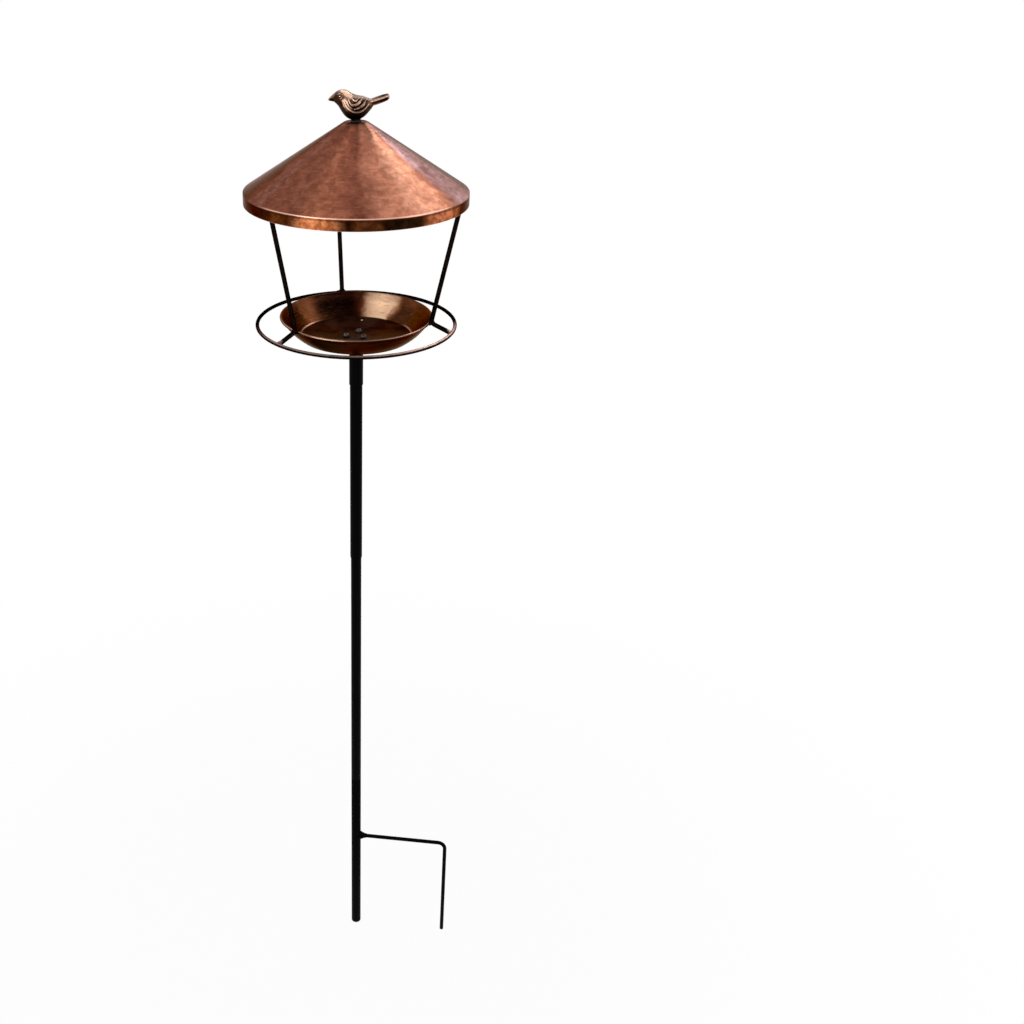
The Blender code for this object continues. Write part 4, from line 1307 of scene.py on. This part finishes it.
def mark_painted_light(piece, bright_lines, dark_lines, reach=0.0052, full=0.0016):
    """Lines of painted highlight lift the mark above a half, and lines of painted shade lower it."""
    marks = piece.data.attributes.new("Painted_light", "FLOAT", "POINT")
    lines = [(line, 1) for line in bright_lines] + [(line, -1) for line in dark_lines]
    runs = [(bird_point(*a), bird_point(*b), way) for line, way in lines for a, b in zip(line, line[1:])]
    for index, vert in enumerate(piece.data.vertices):
        at = Vector((vert.co.x, abs(vert.co.y), vert.co.z))
        level = 0.5
        for start, end, way in runs:
            along = end - start
            share = held((at - start).dot(along) / along.length_squared)
            near = (start + along * share - at).length
            level += way * 0.5 * held((reach - near) / (reach - full)) / 1.4
        marks.data[index].value = held(level)


mark_hollows(bird, 45, 0.0014)
# Painted highlights at the nape and breast, and painted shade round and below the eye
mark_painted_light(
    bird,
    bright_lines=[
        [(-0.230, 0.12, 1.00), (-0.150, 0.26, 0.89), (-0.095, 0.30, 0.80)],
        [(-0.205, 0.36, 0.68), (-0.168, 0.42, 0.56), (-0.125, 0.48, 0.44)],
    ],
    dark_lines=[[(-0.310, 0.20, 0.76), (-0.235, 0.36, 0.76)], [(-0.330, 0.10, 0.60), (-0.255, 0.30, 0.56)]],
)
print("marks on the bird:", [marks.name for marks in bird.data.attributes if marks.domain == "POINT"])

# %% [markdown]
# ## Cast copper
#
# The top of the bird is painted lighter, as light from above, and the flanks browner, with painted shade on
# the underside and near the neck. The breast and belly stay brown.

# %% The bird's copper
def cast_copper():
    made, tree = new_material("antique_cast_copper", 1.0, 0.34)
    patches, _, grit = group(tree, blotches, Size=120.0, Pits=900.0, Seed=8.0)
    hollows, painted_light = (
        add(tree, "ShaderNodeAttribute", attribute_name=name, attribute_type="GEOMETRY").outputs["Fac"]
        for name in ("Hollows", "Painted_light")
    )
    up = facing_up(tree)
    height = xyz(tree, object_place(tree))[2]
    patchy = sway(tree, patches, 0.20, hollows)
    half = span(tree, patches, 0.40, 0.60)
    # Painted light and shade: lighter where the surface faces up, browner and darker on the flanks
    flank = mixed(tree, half, (0.110, 0.036, 0.013), (0.020, 0.007, 0.003))
    back = mixed(tree, half, (0.300, 0.195, 0.160), (0.100, 0.055, 0.042))
    colour = lay(
        tree,
        mixed(tree, span(tree, up, -0.10, 0.95), flank, back),
        # painted highlights at the nape and breast
        (span(tree, painted_light, 0.52, 0.90), (0.780, 0.500, 0.360)),
        # painted shade round and below the eye
        (span(tree, painted_light, 0.10, 0.48, 0.92, 0.0), (0.022, 0.009, 0.006)),
        (span(tree, patchy, 0.18, 0.42, 1.0, 0.0), (0.860, 0.560, 0.400)),
        (span(tree, patchy, 0.50, 0.62), (0.012, 0.004, 0.002)),
        # painted shade on the underside
        (times(tree, span(tree, up, -0.65, 0.0, 1.0, 0.0), 0.92), (0.014, 0.005, 0.003)),
        # painted shade under the body, near the neck
        (span(tree, height, bird_z + 0.005, bird_z + 0.016, 0.95, 0.0), (0.008, 0.004, 0.003)),
    )
    dress(tree, {
        "Base Color": colour,
        "Roughness": span(tree, patchy, 0.2, 0.8, 0.26, 0.55),
        "Normal": bump(tree, maths(tree, "MULTIPLY_ADD", grit, 0.5, patches), 0.00012),
    })
    return made


finish_piece(bird, "head", cast_copper(), "bird_finial", degrees=60)

# %% [markdown]
# ## The floor and the world
#
# A pale floor runs out to white, so the picture has no horizon. The world is white where it is
# seen, and dimmer where it lights.

# %% The floor and the world
def seen_directly(tree):
    """1 for rays that come from the camera, or through a reflection or glass."""
    rays = add(tree, "ShaderNodeLightPath").outputs
    direct = maths(tree, "MAXIMUM", rays["Is Camera Ray"], rays["Is Glossy Ray"])
    return maths(tree, "MAXIMUM", direct, rays["Is Transmission Ray"])


def show(tree, output, share, lighting, seen):
    blended = add(tree, "ShaderNodeMixShader", {0: share, 1: lighting.outputs[0], 2: seen.outputs[0]})
    add(tree, output, {"Surface": blended.outputs[0]})


bright = (1.0, 1.0, 1.0)
deselect_all()
bpy.ops.mesh.primitive_plane_add(size=60, location=(0, 0, -0.0005))
ground = bpy.context.object
ground.name = "studio_floor"
ground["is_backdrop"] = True
floor_look = bpy.data.materials.new("pale_floor")
floor_look.use_nodes = True
tree = floor_look.node_tree
tree.nodes.clear()
far = add(tree, "ShaderNodeVectorMath", {0: object_place(tree)}, operation="LENGTH").outputs["Value"]
matt = add(tree, "ShaderNodeBsdfDiffuse", {"Color": (0.85, 0.85, 0.85)})
glow = add(tree, "ShaderNodeEmission", {"Color": bright, "Strength": 1.0})
whiter = times(tree, seen_directly(tree), span(tree, far, 0.3, 1.4, 0.94, 1.0))
show(tree, "ShaderNodeOutputMaterial", whiter, matt, glow)
ground.data.materials.append(floor_look)

world = bpy.data.worlds.new("Studio")
bpy.context.scene.world = world
world.use_nodes = True
tree = world.node_tree
tree.nodes.clear()
dim = add(tree, "ShaderNodeBackground", {"Color": bright, "Strength": 0.45})
white = add(tree, "ShaderNodeBackground", {"Color": bright, "Strength": 1.0})
show(tree, "ShaderNodeOutputWorld", seen_directly(tree), dim, white)
print("floor", ground.name, "and world", world.name)


# %% [markdown]
# ## The light
#
# The lamps are large and soft, and strong enough only to show a colour about as it is written.

# %% The lamps
def lamp(name, at, towards, size, power, tall=None):
    data = bpy.data.lights.new(name, "AREA")
    data.shape = "RECTANGLE"
    data.size = size
    data.size_y = tall or size
    data.energy = power
    made = bpy.data.objects.new(name, data)
    made.location = at
    made.rotation_euler = (Vector(towards) - Vector(at)).to_track_quat("-Z", "Y").to_euler()
    bpy.context.scene.collection.objects.link(made)
    print(name, "with", power, "W")


lamp("Lamp_back_right", (1.0, 1.2, 2.85), (0, 0, 1.35), 0.5, 9.0, 0.9)
lamp("Lamp_above", (-0.25, 0.2, 3.2), (0, 0, 1.35), 0.35, 3.0, 0.8)
lamp("Lamp_front_left", (-1.6, -1.6, 2.2), (0, 0, 0.9), 1.2, 22.0)
lamp("Lamp_front_right", (1.8, -1.0, 1.6), (0, 0, 0.9), 1.0, 10.0)
bpy.context.scene.view_settings.view_transform = "Standard"

# %% [markdown]
# ## The size of the result
#
# The box round the dressed model is printed. The dressed model has to stay as large as
# the solid one.

# %% Print the size of the dressed model
low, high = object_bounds()
print("visual model", [round(v, 4) for v in low], [round(v, 4) for v in high])
